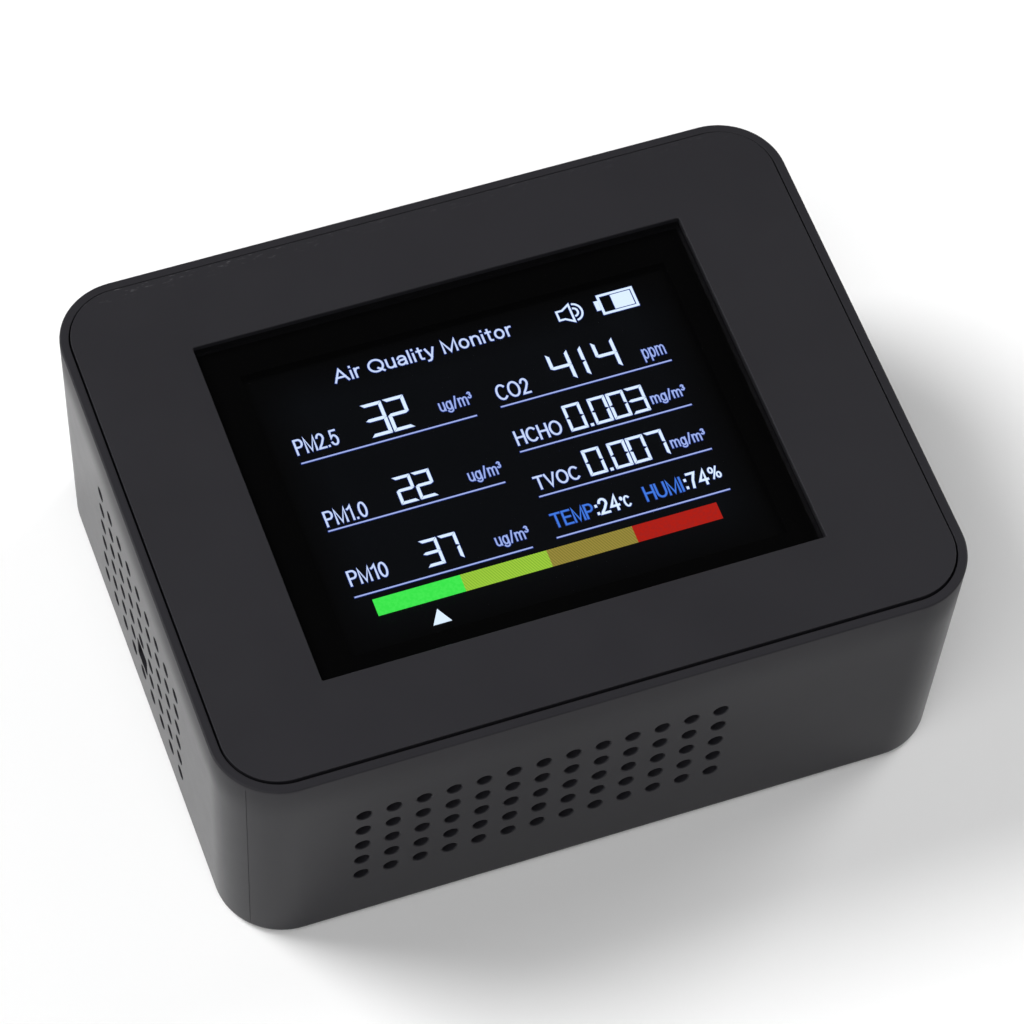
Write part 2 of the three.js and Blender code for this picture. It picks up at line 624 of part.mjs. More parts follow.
function addDustOptics() {
  const { x0, x1, y0, y1, bottom } = DUST_BOX;
  const pathStart = x0 + DUST.wall;
  const pathWidth = x1 - DUST_PATH_INSET - pathStart;
  const boardBottom = bottom + DUST.wall + TOUCH;
  const boardTop = boardBottom + 1.3;
  const board = slab(
    pathStart + pathWidth / 2, (y0 + y1) / 2, pathWidth - 1, DUST.depth - 4, boardBottom, boardTop,
  );
  add('dust_sensor_board', board, MATERIALS.board);
  const onBoard = boardTop + TOUCH;
  const laser = { x: x0 + 9, z: boardTop + 4.2, radius: 3 };
  add('dust_sensor_laser', rodY(laser.x, laser.z, laser.radius, y0 + 24, y0 + 34), MATERIALS.brass);
  add('dust_sensor_light_trap', carve(
    [block(laser.x - 3.5, laser.x + 3.5, y0 + 5, y0 + 9, onBoard, boardTop + 8)],
    [rodY(laser.x, laser.z, 1.2, y0 + 7, y0 + 10, 12)],
  ), MATERIALS.blackPlastic);
  const detector = block(laser.x + 6, laser.x + 8, y0 + 14, y0 + 18, onBoard, boardTop + 4);
  add('dust_sensor_detector', detector, MATERIALS.chip);
  const leadX = FRONT_VENTS.centre;
  add('dust_sensor_lead', stripYZ([
    [y1 + 0.1, 22],
    [y1 + 1.3, 21.2],
    [y1 + 2.1, 19],
    [y1 + 2.1, ON_BOARD],
    [y1 + 1.4, ON_BOARD],
    [y1 + 1.4, 18.8],
    [y1 + 0.8, 20.6],
    [y1 + 0.1, 21.2],
  ], leadX - 5, leadX + 5), MATERIALS.blackWire);
}

// ---- Gas, climate and carbon dioxide sensors ----

function addGasSensors() {
  const { x, thickness, halfDepth, bottom, top } = GAS_BOARD;
  add('gas_sensor_board', block(x, x + thickness, -halfDepth, halfDepth, bottom, top), MATERIALS.board);
  const face = x - TOUCH;
  const middle = (bottom + top) / 2;

  const gas = FORMALDEHYDE;
  const gasEnd = face - gas.length;
  add('formaldehyde_sensor', carve(
    [rodX(gas.y, middle, gas.radius, gasEnd, face, 32)],
    [rodX(gas.y, middle, gas.hole, gasEnd - 1, gasEnd + 1.5, 16)],
  ), MATERIALS.whitePlastic);

  const vapour = VAPOUR;
  const vapourEnd = face - vapour.length;
  add('vapour_sensor', carve(
    [
      rodX(vapour.y, middle, vapour.radius, face - vapour.flange, face, 32),
      rodX(vapour.y, middle, vapour.radius - 0.7, vapourEnd, face - 1, 32),
    ],
    [rodX(vapour.y, middle, vapour.radius - 1.5, vapourEnd - 1, vapourEnd + 0.8, 24)],
  ), MATERIALS.steel);

  const climate = CLIMATE;
  const climateEnd = face - climate.length;
  const grille = [];
  for (let i = -1; i <= 1; i += 1) {
    const z = middle + i * climate.slotPitch;
    const slot = slab(climateEnd, climate.y, 1.2, 2.8, z - 0.5, z + 0.5);
    grille.push(slot);
  }
  const climateBody = block(
    climateEnd, face, climate.y - climate.halfDepth, climate.y + climate.halfDepth,
    middle - climate.halfHeight, middle + climate.halfHeight,
  );
  add('climate_sensor', carve([climateBody], grille), MATERIALS.whitePlastic);

  add('gas_sensor_lead', stripYZ([
    [16.2, 16.5],
    [17.2, 16.5],
    [17.2, ON_BOARD],
    [16.4, ON_BOARD],
    [16.4, 15.7],
    [16.2, 15.7],
  ], x - 3, x + 1), MATERIALS.blackWire);
}

function addCarbonDioxideSensor() {
  const { x0, x1, y0, y1 } = CO2;
  const bottom = BOARD_TOP + CO2.lift;
  const top = bottom + CO2.height;
  const boardTop = bottom + CO2.board;
  const filter = CO2_FILTER;
  const middleX = (x0 + x1) / 2;
  const middleY = (y0 + y1) / 2;
  const filterTop = top - filter.sunk;
  const filterBottom = filterTop - filter.thickness;
  const chamber = block(x0, x1, y0, y1, boardTop + TOUCH, top);
  const inlet = slab(
    middleX, middleY, filter.width + 2 * GAP, filter.depth + 2 * GAP, filterBottom - TOUCH, top + 1,
  );
  add('co2_sensor', carve([chamber], [inlet]), MATERIALS.brass);
  const sheet = slab(middleX, middleY, filter.width, filter.depth, filterBottom, filterTop);
  add('co2_filter', sheet, MATERIALS.whitePlastic);
  add('co2_board', block(x0, x1, y0, y1, bottom, boardTop), MATERIALS.board);
}

// ---- Battery, its pad, plug and leads ----

function addBattery() {
  const { x, radius, halfLength, cap } = BATTERY;
  const z = BOARD_TOP + BATTERY.lift + radius;
  const capEnd = halfLength + cap;
  add('battery', carve([
    rodY(x, z, radius, -halfLength, halfLength, 36),
    rodY(x, z, BATTERY.capRadius, -capEnd, capEnd),
  ]), MATERIALS.cell);
  const saddle = block(x - 6, x + 6, -26, 26, ON_BOARD, z - 5);
  const groove = rodY(x, z, radius + 0.15, -HALF_DEPTH, HALF_DEPTH, 36);
  add('battery_pad', carve([saddle], [groove]), MATERIALS.foam);

  const plug = BATTERY_PLUG;
  const plugTop = ON_BOARD + plug.height;
  const plugBody = block(plug.x0, plug.x1, plug.y0, plug.y1, ON_BOARD, plugTop);
  add('battery_plug', plugBody, MATERIALS.whitePlastic);
  const plugX = (plug.x0 + plug.x1) / 2;
  const leadEnd = plugTop + 0.15;
  const outside = capEnd + LEAD_RADIUS + 0.2;
  add('battery_lead_red', wire([
    [x - 1, outside, z],
    [x - 4, outside, z - 1],
    [22, outside, 15.6],
    [plugX + 1.5, outside - 1, 15.2],
    [plugX, 32.2, 15],
    [plugX, 32.2, leadEnd],
  ], LEAD_RADIUS, 20), MATERIALS.redWire);
  add('battery_lead_black', wire([
    [x, -outside, z],
    [x - 5, -outside, z + 0.5],
    [20, -outside, 19],
    [17.5, -outside + 3, 19],
    [17.4, -24, 19],
    [17.4, 0, 19],
    [17.4, 20, 18],
    [17.4, 28, 16.6],
    [plugX, 30.6, 15.4],
    [plugX, 30.6, leadEnd],
  ], LEAD_RADIUS, 40), MATERIALS.blackWire);
}

// ---- Assembly ----

add('case_shell', caseShell(), MATERIALS.case);
add('front_panel', frontPanel(), MATERIALS.panel);
add('window_lens', slab(
  WINDOW.x,
  WINDOW.y,
  WINDOW.width - 2 * LENS.edgeGap,
  WINDOW.depth - 2 * LENS.edgeGap,
  LENS_UNDERSIDE,
  LENS_TOP,
), MATERIALS.lens);

corners(PILLAR, (x, y, i) => {
  const headStart = PILLAR.shoulder - TOUCH - CASE_SCREW.head;
  add(`case_screw_${i}`, panScrew(x, y, headStart, 1, CASE_SCREW), MATERIALS.screw);
});
corners(FOOT, (x, y, i) => {
  add(`foot_${i}`, post(x, y, FOOT.radius, 0, FOOT.thickness, 32), MATERIALS.rubber);
});

addDisplay();
addDisplayLead();
addMainBoard();
addChargingSocket();
addButtons();
addDustHousing();
addDustFan();
addDustOptics();
addGasSensors();
addCarbonDioxideSensor();
addBattery();

export default monitor;
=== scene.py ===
"""Looks of a portable air quality monitor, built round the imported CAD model.

Metres, in the CAD frame: X along the long side, Y towards the back, Z up out of the screen.
"""

import json
import math

import bmesh
import bpy
from mathutils import Matrix, Vector


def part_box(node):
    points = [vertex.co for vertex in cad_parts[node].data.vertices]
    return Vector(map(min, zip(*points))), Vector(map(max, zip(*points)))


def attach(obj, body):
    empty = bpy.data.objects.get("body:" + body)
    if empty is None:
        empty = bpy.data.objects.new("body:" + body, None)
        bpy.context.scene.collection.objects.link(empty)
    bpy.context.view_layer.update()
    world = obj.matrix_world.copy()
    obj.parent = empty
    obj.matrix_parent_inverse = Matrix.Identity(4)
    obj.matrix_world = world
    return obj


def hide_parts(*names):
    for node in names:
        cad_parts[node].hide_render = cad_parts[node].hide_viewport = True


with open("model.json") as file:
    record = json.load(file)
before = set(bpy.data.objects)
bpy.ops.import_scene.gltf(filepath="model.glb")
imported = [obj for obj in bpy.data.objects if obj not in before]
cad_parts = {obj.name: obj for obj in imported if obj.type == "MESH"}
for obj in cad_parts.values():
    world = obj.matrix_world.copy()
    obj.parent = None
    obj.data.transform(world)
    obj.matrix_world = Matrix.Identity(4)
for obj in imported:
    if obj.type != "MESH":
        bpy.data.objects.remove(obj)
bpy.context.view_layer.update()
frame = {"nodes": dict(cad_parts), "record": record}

MM = 0.001

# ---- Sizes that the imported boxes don't give, as the CAD has them ----

CORNER = 9 * MM
DRAFT = math.radians(1.2)
WALL = 2.4 * MM
FLOOR = 2.2 * MM
LIP = 1.25 * MM
PANEL_CORNER = 7.4 * MM
PANEL_SHEET = 2.5 * MM
SEAT_GAP = 0.3 * MM
BOARD_GAP = 0.1 * MM
LENS_GLUE = 0.1 * MM
LENS_EDGE = 0.2 * MM
LENS_LEDGE = 3 * MM
WINDOW_CORNER = 0.25 * MM

VENT_PITCH = 4 * MM
VENT_RADIUS = 1 * MM
VENT_TOP_ROW = 27.4 * MM
FRONT_VENTS = {"columns": 13, "rows": 5, "centre": -9.05 * MM}
SIDE_VENTS = {"columns": 9, "rows": 6, "centre": 0.2 * MM}
SOCKET_CELL = (4, 4)
SOCKET_OPENING = 4 * MM
SOCKET_CORNER = 0.55 * MM

BUTTON_CLEARANCE = 0.25 * MM
BUTTON_HEIGHT = 3.6 * MM
BUTTON_WIDTH = 8 * MM
BUTTON_FLANGE = 1 * MM
BUTTON_FLANGE_GAP = 0.35 * MM
BUTTON_STEM = {"radius": 1.1 * MM, "length": 2 * MM}

WELL_RADIUS = 2.6 * MM
SHOULDER = 29.3 * MM
PILLAR_TOP = 31.5 * MM
PILLAR_RADIUS = 3.7 * MM
PILLAR_HOLE = 1.5 * MM
STANDOFF_RADIUS = 3 * MM
STANDOFF_PILOT = 1 * MM
PANEL_POST = {"radius": 3.1 * MM, "pilot": 1.3 * MM}
DISPLAY_BOSS = {"radius": 2.2 * MM, "pilot": 1 * MM}
FOOT_GAP = 0.2 * MM
FOOT_RECESS_SPARE = 0.05 * MM

# ---- Fine edges that only this model has ----

CASE_RIM_ROUND = 0.25 * MM
CASE_FOOT_ROUND = 0.3 * MM
PANEL_ROUND = 0.1 * MM
BUTTON_ROUND = 0.35 * MM
SMALL_ROUND = 0.08 * MM
PARTING_LINE = {"width": 0.07 * MM, "depth": 0.07 * MM, "end": 1.2 * MM}
INK = {"edge": 0.25 * MM, "margin": 0.7 * MM, "gap": 0.02 * MM, "thickness": 0.04 * MM}

CORNER_STEPS = 20
ROUND_STEPS = 5
HOLD = 0.5 * MM  # how far from a round the flat beside it is held flat, for the shading
SUNK = 0.5 * MM  # how far a joined or cutting shape runs past the surface it meets
SHARP = math.radians(28)

# ---- The page on the screen, in millimetres right of and below the top left of the lit area ----

LIT_AREA = (57.6, 43.2)
PLATE_LIFT = 0.02 * MM
PLATE_THICKNESS = 0.02 * MM
HALO = 0.07

# Words: the text, its left, right and baseline, the height of its capitals and the width of its strokes.
TITLE = (("Air Quality Monitor", 10.95, 35.7, 3.65, 2.1, 0.26),)
LABELS = (
    ("PM2.5", 2.75, 8.6, 12.75, 2.45, 0.26),
    ("PM1.0", 2.9, 8.6, 24.3, 2.4, 0.26),
    ("PM10", 2.9, 8.15, 33.65, 2.35, 0.26),
    ("CO2", 30.3, 34.85, 12.9, 2.5, 0.27),
    ("HCHO", 30.3, 36.65, 20.2, 2.3, 0.27),
    ("TVOC", 30.3, 36.4, 27.45, 2.15, 0.27),
)
UNITS = (
    ("ug/m³", 22.55, 27.15, 12.15, 1.85, 0.19),
    ("ug/m³", 22.55, 27.15, 23.5, 1.8, 0.19),
    ("ug/m³", 22.55, 27.15, 33.85, 1.8, 0.19),
    ("ppm", 50.7, 53.8, 12.6, 2.1, 0.17),
    ("mg/m³", 49.2, 54.05, 19.55, 1.65, 0.19),
    ("mg/m³", 49.2, 54.05, 26.8, 1.65, 0.19),
)
BLUE_WORDS = (
    ("TEMP", 30.45, 36.15, 33.55, 2.25, 0.24),
    ("HUMI", 43.2, 48.4, 33.45, 2.3, 0.24),
)
CLIMATE_VALUES = (
    (":24", 36.4, 39.7, 33.5, 2.45, 0.33),
    ("°C", 39.85, 41.2, 33.4, 1.75, 0.24),
    (":74", 48.7, 52.0, 33.4, 2.45, 0.33),
    ("%", 52.2, 53.8, 32.9, 1.9, 0.22),
)
# Numbers: the digits, their left, right, top and bottom, and the width of their strokes.
NUMBERS = (
    ("32", 12.8, 18.65, 7.95, 13.15, 0.46),
    ("22", 13.05, 18.05, 19.8, 24.05, 0.41),
    ("37", 13.15, 18.05, 29.95, 34.05, 0.41),
    ("414", 38.4, 47.65, 7.95, 12.65, 0.44),
    ("0.003", 37.65, 48.7, 16.15, 20.3, 0.39),
    ("0.007", 37.65, 48.7, 23.45, 27.55, 0.39),
)

LEFT_LINES = (14.05, 24.9, 35.3)
RIGHT_LINES = (13.8, 21.15, 28.4, 34.95)
LINE_WIDTH = 0.18
LEFT_COLUMN = (2.8, 26.8)
RIGHT_COLUMN = (30.2, 54.0)

BAR = {"top": 36.3, "bottom": 38.85, "edges": (4.8, 16.55, 28.25, 39.9, 51.55)}
# Bars: the name, its two tones, and whether they show as slanted lines.
BAR_COLOURS = (
    ("bar_green", (0.045, 0.83, 0.075), (0.06, 0.88, 0.09), False),
    ("bar_lime", (0.24, 0.5, 0.03), (0.4, 0.66, 0.06), True),
    ("bar_mustard", (0.22, 0.2, 0.025), (0.36, 0.27, 0.06), True),
    ("bar_red", (0.45, 0.012, 0.006), (0.4, 0.014, 0.01), False),
)
POINTER = [(10.9, 42.35), (13.4, 42.35), (12.15, 40.15)]

# Battery sign, each left, right, top and bottom: the middle of its outline's stroke, its cap and its charge.
BATTERY_CASE = (48.22, 52.98, 1.22, 4.13)
BATTERY_CAP = (47.45, 48.03, 1.9, 3.45)
BATTERY_CHARGE = (49.9, 52.65, 1.53, 3.82)
BATTERY_STROKE = 0.34
HORN = [(42.2, 1.95), (43.0, 1.95), (44.1, 1.25), (44.1, 4.05), (43.0, 3.35), (42.2, 3.35)]
WAVE_CENTRE = (44.45, 2.65)
WAVE_RADII = (0.62, 1.3)
SPEAKER_STROKE = 0.26

# Digits: the share of the pitch that a digit and a point fill, and the gap between two strokes.
DIGIT_SHARE = 0.93
POINT_SHARE = 0.36
STROKE_GAP = 0.035
POINT_HALF = 0.55  # half a point's side, in strokes
MITRE_LIMIT = 0.45
ARC_STEP = 15  # degrees between the points of a curved stroke


# ---- Mesh helpers ----


def new_object(name, bm):
    """An object of the shapes in bm, with their faces turned outwards."""
    bmesh.ops.recalc_face_normals(bm, faces=bm.faces)
    mesh = bpy.data.meshes.new(name)
    bm.to_mesh(mesh)
    bm.free()
    obj = bpy.data.objects.new(name, mesh)
    bpy.context.scene.collection.objects.link(obj)
    return obj


def shade(obj):
    """Shades obj smooth, except across edges that turn by more than SHARP."""
    bm = bmesh.new()
    bm.from_mesh(obj.data)
    for face in bm.faces:
        face.smooth = True
    for edge in bm.edges:
        edge.smooth = edge.is_manifold and edge.calc_face_angle(0) < SHARP
    bm.to_mesh(obj.data)
    bm.free()
    even = obj.modifiers.new("even_normals", "WEIGHTED_NORMAL")
    even.keep_sharp = True
    even.weight = 100


def combine(obj, operand, operation):
    """Joins operand to obj or cuts it away, and removes it."""
    modifier = obj.modifiers.new("combine", "BOOLEAN")
    modifier.operation = operation
    modifier.solver = "MANIFOLD"
    modifier.object = operand
    graph = bpy.context.evaluated_depsgraph_get()
    made = bpy.data.meshes.new_from_object(obj.evaluated_get(graph))
    obj.modifiers.clear()
    spent = obj.data
    obj.data = made
    made.name = obj.name
    bpy.data.meshes.remove(spent)
    bpy.data.objects.remove(operand)


def rounded_ring(half_x, half_y, radius, level, centre=(0.0, 0.0), hold=HOLD, steps=CORNER_STEPS):
    """Points round a rectangle with round corners, with one more point on the flat beside each corner."""
    points = []
    for quarter, (sx, sy) in enumerate(((1, 1), (-1, 1), (-1, -1), (1, -1))):
        middle = Vector((centre[0] + sx * (half_x - radius), centre[1] + sy * (half_y - radius)))
        bend = []
        for step in range(steps + 1):
            angle = math.pi / 2 * (quarter + step / steps)
            bend.append(middle + radius * Vector((math.cos(angle), math.sin(angle))))
        start = math.pi / 2 * quarter
        end = start + math.pi / 2
        before = bend[0] - hold * Vector((-math.sin(start), math.cos(start)))
        after = bend[-1] + hold * Vector((-math.sin(end), math.cos(end)))
        points += [before, *bend, after]
    return [Vector((p.x, p.y, level)) for p in points]


def circle_ring(radius, level, sides):
    points = []
    for i in range(sides):
        angle = 2 * math.pi * i / sides
        points.append(Vector((radius * math.cos(angle), radius * math.sin(angle), level)))
    return points


def skin(bm, rows, round_rows=False, round_points=True):
    """Faces between rows of vertices, closed along the rows and from the last row to the first where told."""
    count = len(rows[0])
    pairs = list(zip(rows, rows[1:]))
    if round_rows:
        pairs.append((rows[-1], rows[0]))
    for row, after in pairs:
        for i in range(count if round_points else count - 1):
            j = (i + 1) % count
            bm.faces.new((row[i], row[j], after[j], after[i]))


def loft(bm, rings, place=None):
    """A closed solid through rings of points, all with the same number of points."""
    rows = []
    for ring in rings:
        moved = [place @ point for point in ring] if place else ring
        rows.append([bm.verts.new(point) for point in moved])
    skin(bm, rows)
    bm.faces.new(list(reversed(rows[0])))
    bm.faces.new(rows[-1])


def turned(bm, profile, place, sides=32):
    """A round solid: profile is a list of (radius, height) from its foot to its top."""
    loft(bm, [circle_ring(radius, height, sides) for radius, height in profile], place)


def prism(bm, outline, low, high):
    """A flat solid with an outline of (x, y) points."""
    loft(bm, [[Vector((x, y, level)) for x, y in outline] for level in (low, high)])


def facing_front(x, z):
    """Turns a shape's own Z to point out of the front wall, with its foot at y = 0."""
    return Matrix.Translation((x, 0, z)) @ Matrix.Rotation(math.pi / 2, 4, "X")


def facing_left(y, z):
    """Turns a shape's own Z to point out of the left wall, with its foot at x = 0."""
    return Matrix.Translation((0, y, z)) @ Matrix.Rotation(-math.pi / 2, 4, "Y")


def facing_right(y, z):
    """Turns a shape's own Z to point out of the right wall, and its own X towards the back."""
    turn = Matrix(((0, 0, 1), (1, 0, 0), (0, 1, 0))).to_4x4()
    return Matrix.Translation((0, y, z)) @ turn


def centre_of(node):
    low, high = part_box(node)
    return (low + high) / 2


def over(node):
    """Moves an upright shape, with its foot at z = 0, to stand over the middle of a node."""
    at = centre_of(node)
    return Matrix.Translation((at.x, at.y, 0))


def quarter_round(radius, steps=ROUND_STEPS):
    """(inset, drop) pairs along a quarter round, from the wall to the top face."""
    pairs = []
    for step in range(steps + 1):
        angle = math.pi / 2 * step / steps
        pairs.append((radius * (1 - math.cos(angle)), radius * (1 - math.sin(angle))))
    return pairs


def dress(obj, material):
    shade(obj)
    obj.data.materials.clear()
    obj.data.materials.append(material)


# ---- Case ----

case_low, case_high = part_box("case_shell")
RIM_TOP = case_high.z
CASE_BOTTOM = case_low.z
HALF_X = case_high.x
HALF_Y = case_high.y


def drawn_in(level):
    """How far the mould draft has brought the outside in at a level."""
    return (RIM_TOP - level) * math.tan(DRAFT)


def case_ring(inset, level):
    """The case's outline at a level, brought in by the mould draft and by inset."""
    inward = inset + drawn_in(level)
    return rounded_ring(HALF_X - inward, HALF_Y - inward, CORNER - inset, level)


def straight_ring(inset, level):
    """The rim's outline brought in by inset, with no draft."""
    return rounded_ring(HALF_X - inset, HALF_Y - inset, CORNER - inset, level)


def case_rings():
    """Rings from the underside up the outside, over the rim and down to the floor inside."""
    foot = [(i, CASE_BOTTOM + d) for i, d in reversed(quarter_round(CASE_FOOT_ROUND))]
    rings = [case_ring(i, z) for i, z in foot]
    rings.append(case_ring(0, CASE_BOTTOM + CASE_FOOT_ROUND + HOLD))
    rings.append(case_ring(0, RIM_TOP - CASE_RIM_ROUND - HOLD))
    rings += [case_ring(i, RIM_TOP - d) for i, d in quarter_round(CASE_RIM_ROUND)]
    rings.append(straight_ring(LIP - SMALL_ROUND, RIM_TOP))
    rings.append(straight_ring(LIP, RIM_TOP - SMALL_ROUND))
    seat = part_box("front_panel")[1].z - PANEL_SHEET - SEAT_GAP
    rings.append(straight_ring(LIP, seat))
    rings.append(case_ring(WALL, seat))
    rings.append(case_ring(WALL, CASE_BOTTOM + FLOOR))
    return rings


def vent_cutter(bm, place, surface):
    """A round hole through a wall, with a small lead-in where it meets the surface."""
    flare = 1.6 * SMALL_ROUND
    profile = [
        (VENT_RADIUS, surface - 2 * WALL),
        (VENT_RADIUS, surface - flare),
        (VENT_RADIUS + flare, surface),
        (VENT_RADIUS + 2 * flare, surface + flare),
    ]
    turned(bm, profile, place)


def vent_across(grid, column, way):
    """Where a column of a vent grid is along its wall, counted from the wall's left end."""
    return grid["centre"] + way * (column - (grid["columns"] - 1) / 2) * VENT_PITCH


def vent_level(row):
    return VENT_TOP_ROW - row * VENT_PITCH


def cut_vents(case):
    bm = bmesh.new()
    walls = ((FRONT_VENTS, 1, facing_front, HALF_Y), (SIDE_VENTS, -1, facing_left, HALF_X))
    for grid, way, facing, half in walls:
        for column in range(grid["columns"]):
            for row in range(grid["rows"]):
                if grid is FRONT_VENTS or (column, row) != SOCKET_CELL:
                    z = vent_level(row)
                    vent_cutter(bm, facing(vent_across(grid, column, way), z), half - drawn_in(z))
    combine(case, new_object("vent_cutters", bm), "DIFFERENCE")


def bar_rings(half_y, half_z, levels):
    """Rings of a bar with almost fully round ends; levels are (growth, height) pairs."""
    rings = []
    for growth, height in levels:
        half = half_z + growth
        ring = rounded_ring(half_y + growth, half, half * 0.98, height, hold=0.01 * MM, steps=8)
        rings.append(ring)
    return rings


def through_wall(growth, surface):
    """(growth, height) pairs of a cutter through a wall, with a small lead-in at its surface."""
    wide = growth + 2 * SMALL_ROUND
    return ((growth, surface - 2 * WALL), (growth, surface - SMALL_ROUND), (wide, surface + SMALL_ROUND))


def cut_wall_openings(case):
    """The charging socket's square opening and the two button slots."""
    bm = bmesh.new()
    column, row = SOCKET_CELL
    socket_y = vent_across(SIDE_VENTS, column, -1)
    socket_z = vent_level(row)
    rings = []
    for growth, height in through_wall(0, HALF_X - drawn_in(socket_z)):
        side = SOCKET_OPENING / 2 + growth
        rings.append(rounded_ring(side, side, SOCKET_CORNER + growth, height, hold=0.1 * MM, steps=6))
    loft(bm, rings, facing_left(socket_y, socket_z))
    for node in ("power_button", "sound_button"):
        middle = centre_of(node)
        levels = through_wall(BUTTON_CLEARANCE, HALF_X - drawn_in(middle.z))
        loft(bm, bar_rings(BUTTON_WIDTH / 2, BUTTON_HEIGHT / 2, levels), facing_right(middle.y, middle.z))
    combine(case, new_object("opening_cutters", bm), "DIFFERENCE")


def numbered(name):
    return [f"{name}_{i}" for i in (1, 2, 3, 4)]


def add_case_posts(case):
    """Screw pillars and board standoffs on the floor, then their holes and the recesses for the feet."""
    floor_top = CASE_BOTTOM + FLOOR
    standoff_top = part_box("main_board")[0].z - BOARD_GAP
    bm = bmesh.new()
    for node in numbered("case_screw"):
        turned(bm, [(PILLAR_RADIUS, floor_top - SUNK), (PILLAR_RADIUS, PILLAR_TOP)], over(node))
    for node in numbered("board_screw"):
        turned(bm, [(STANDOFF_RADIUS, floor_top - SUNK), (STANDOFF_RADIUS, standoff_top)], over(node))
    combine(case, new_object("posts", bm), "UNION")

    bm = bmesh.new()
    for node in numbered("case_screw"):
        profile = [
            (WELL_RADIUS + 3 * SMALL_ROUND, CASE_BOTTOM - SMALL_ROUND),
            (WELL_RADIUS, CASE_BOTTOM + 2 * SMALL_ROUND),
            (WELL_RADIUS, SHOULDER),
            (PILLAR_HOLE, SHOULDER),
            (PILLAR_HOLE, PILLAR_TOP + SUNK),
        ]
        turned(bm, profile, over(node))
    for node in numbered("board_screw"):
        turned(bm, [(STANDOFF_PILOT, floor_top), (STANDOFF_PILOT, standoff_top + SUNK)], over(node), 16)
    for node in numbered("foot"):
        low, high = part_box(node)
        radius = (high.x - low.x) / 2 + FOOT_GAP
        turned(bm, [(radius, CASE_BOTTOM - SUNK), (radius, high.z + FOOT_RECESS_SPARE)], over(node), 48)
    combine(case, new_object("hole_cutters", bm), "DIFFERENCE")


def cut_parting_line(case):
    """The fine lines that the mould's two halves leave down the front left and back right corners."""
    depth = PARTING_LINE["depth"]
    bm = bmesh.new()
    for side in (-1, 1):
        out = Vector((side, side, 0)).normalized()
        along = Vector((-out.y, out.x, 0)) * PARTING_LINE["width"]
        rings = []
        for level in (CASE_BOTTOM - HOLD, RIM_TOP - PARTING_LINE["end"]):
            reach = CORNER * (1 - math.sqrt(0.5)) + drawn_in(level)
            edge = Vector((side * (HALF_X - reach), side * (HALF_Y - reach), level))
            rings.append([edge - out * depth, edge + out * depth + along, edge + out * depth - along])
        loft(bm, rings)
    combine(case, new_object("line_cutters", bm), "DIFFERENCE")


def make_case():
    bm = bmesh.new()
    loft(bm, case_rings())
    case = new_object("case_body", bm)
    add_case_posts(case)
    cut_vents(case)
    cut_wall_openings(case)
    cut_parting_line(case)
    dress(case, case_plastic())
    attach(case, "case")
    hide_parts("case_shell")


# ---- Front panel ----


def panel_rings(low, high):
    """Rings of the plate from its underside to its face, with a fine round on the upper edge."""
    middle = (low + high) / 2
    half = (high - low) / 2
    centre = (middle.x, middle.y)
    underside = high.z - PANEL_SHEET
    rings = [rounded_ring(half.x, half.y, PANEL_CORNER, underside, centre)]
    for inset, drop in quarter_round(PANEL_ROUND, 3):
        ring = rounded_ring(half.x - inset, half.y - inset, PANEL_CORNER - inset, high.z - drop, centre)
        rings.append(ring)
    return rings


def window_rings(lens_low, lens_high, panel_top):
    """The cutter for the window: the opening inside the ledge, then the lens's seat with a small lead-in."""
    middle = (lens_low + lens_high) / 2
    half = (lens_high - lens_low) / 2 + Vector((LENS_EDGE, LENS_EDGE, 0))
    ledge = lens_low.z - LENS_GLUE
    levels = (
        (-LENS_LEDGE, ledge - PANEL_SHEET),
        (-LENS_LEDGE, ledge),
        (0, ledge),
        (0, panel_top - SMALL_ROUND),
        (2 * SMALL_ROUND, panel_top + SMALL_ROUND),
    )
    rings = []
    for growth, level in levels:
        centre = (middle.x, middle.y)
        half_x = half.x + growth
        half_y = half.y + growth
        rings.append(rounded_ring(half_x, half_y, WINDOW_CORNER, level, centre, 0.05 * MM, 4))
    return rings


def make_panel():
    low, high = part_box("front_panel")
    bm = bmesh.new()
    loft(bm, panel_rings(low, high))
    panel = new_object("panel_plate", bm)
    underside = high.z - PANEL_SHEET

    posts = bmesh.new()
    pilots = bmesh.new()
    board_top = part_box("display_board")[1].z
    post_foot = PILLAR_TOP + SEAT_GAP
    supports = [(node, PANEL_POST, post_foot) for node in numbered("case_screw")]
    supports += [(node, DISPLAY_BOSS, board_top + BOARD_GAP) for node in numbered("display_screw")]
    for node, size, foot in supports:
        turned(posts, [(size["radius"], foot), (size["radius"], underside + SUNK)], over(node))
        turned(pilots, [(size["pilot"], foot - SUNK), (size["pilot"], underside)], over(node), 16)
    combine(panel, new_object("panel_posts", posts), "UNION")
    combine(panel, new_object("panel_pilots", pilots), "DIFFERENCE")

    window = bmesh.new()
    loft(window, window_rings(*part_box("window_lens"), high.z))
    combine(panel, new_object("window_cutter", window), "DIFFERENCE")
    dress(panel, panel_plastic())
    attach(panel, "case")
    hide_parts("front_panel")


# ---- Buttons ----


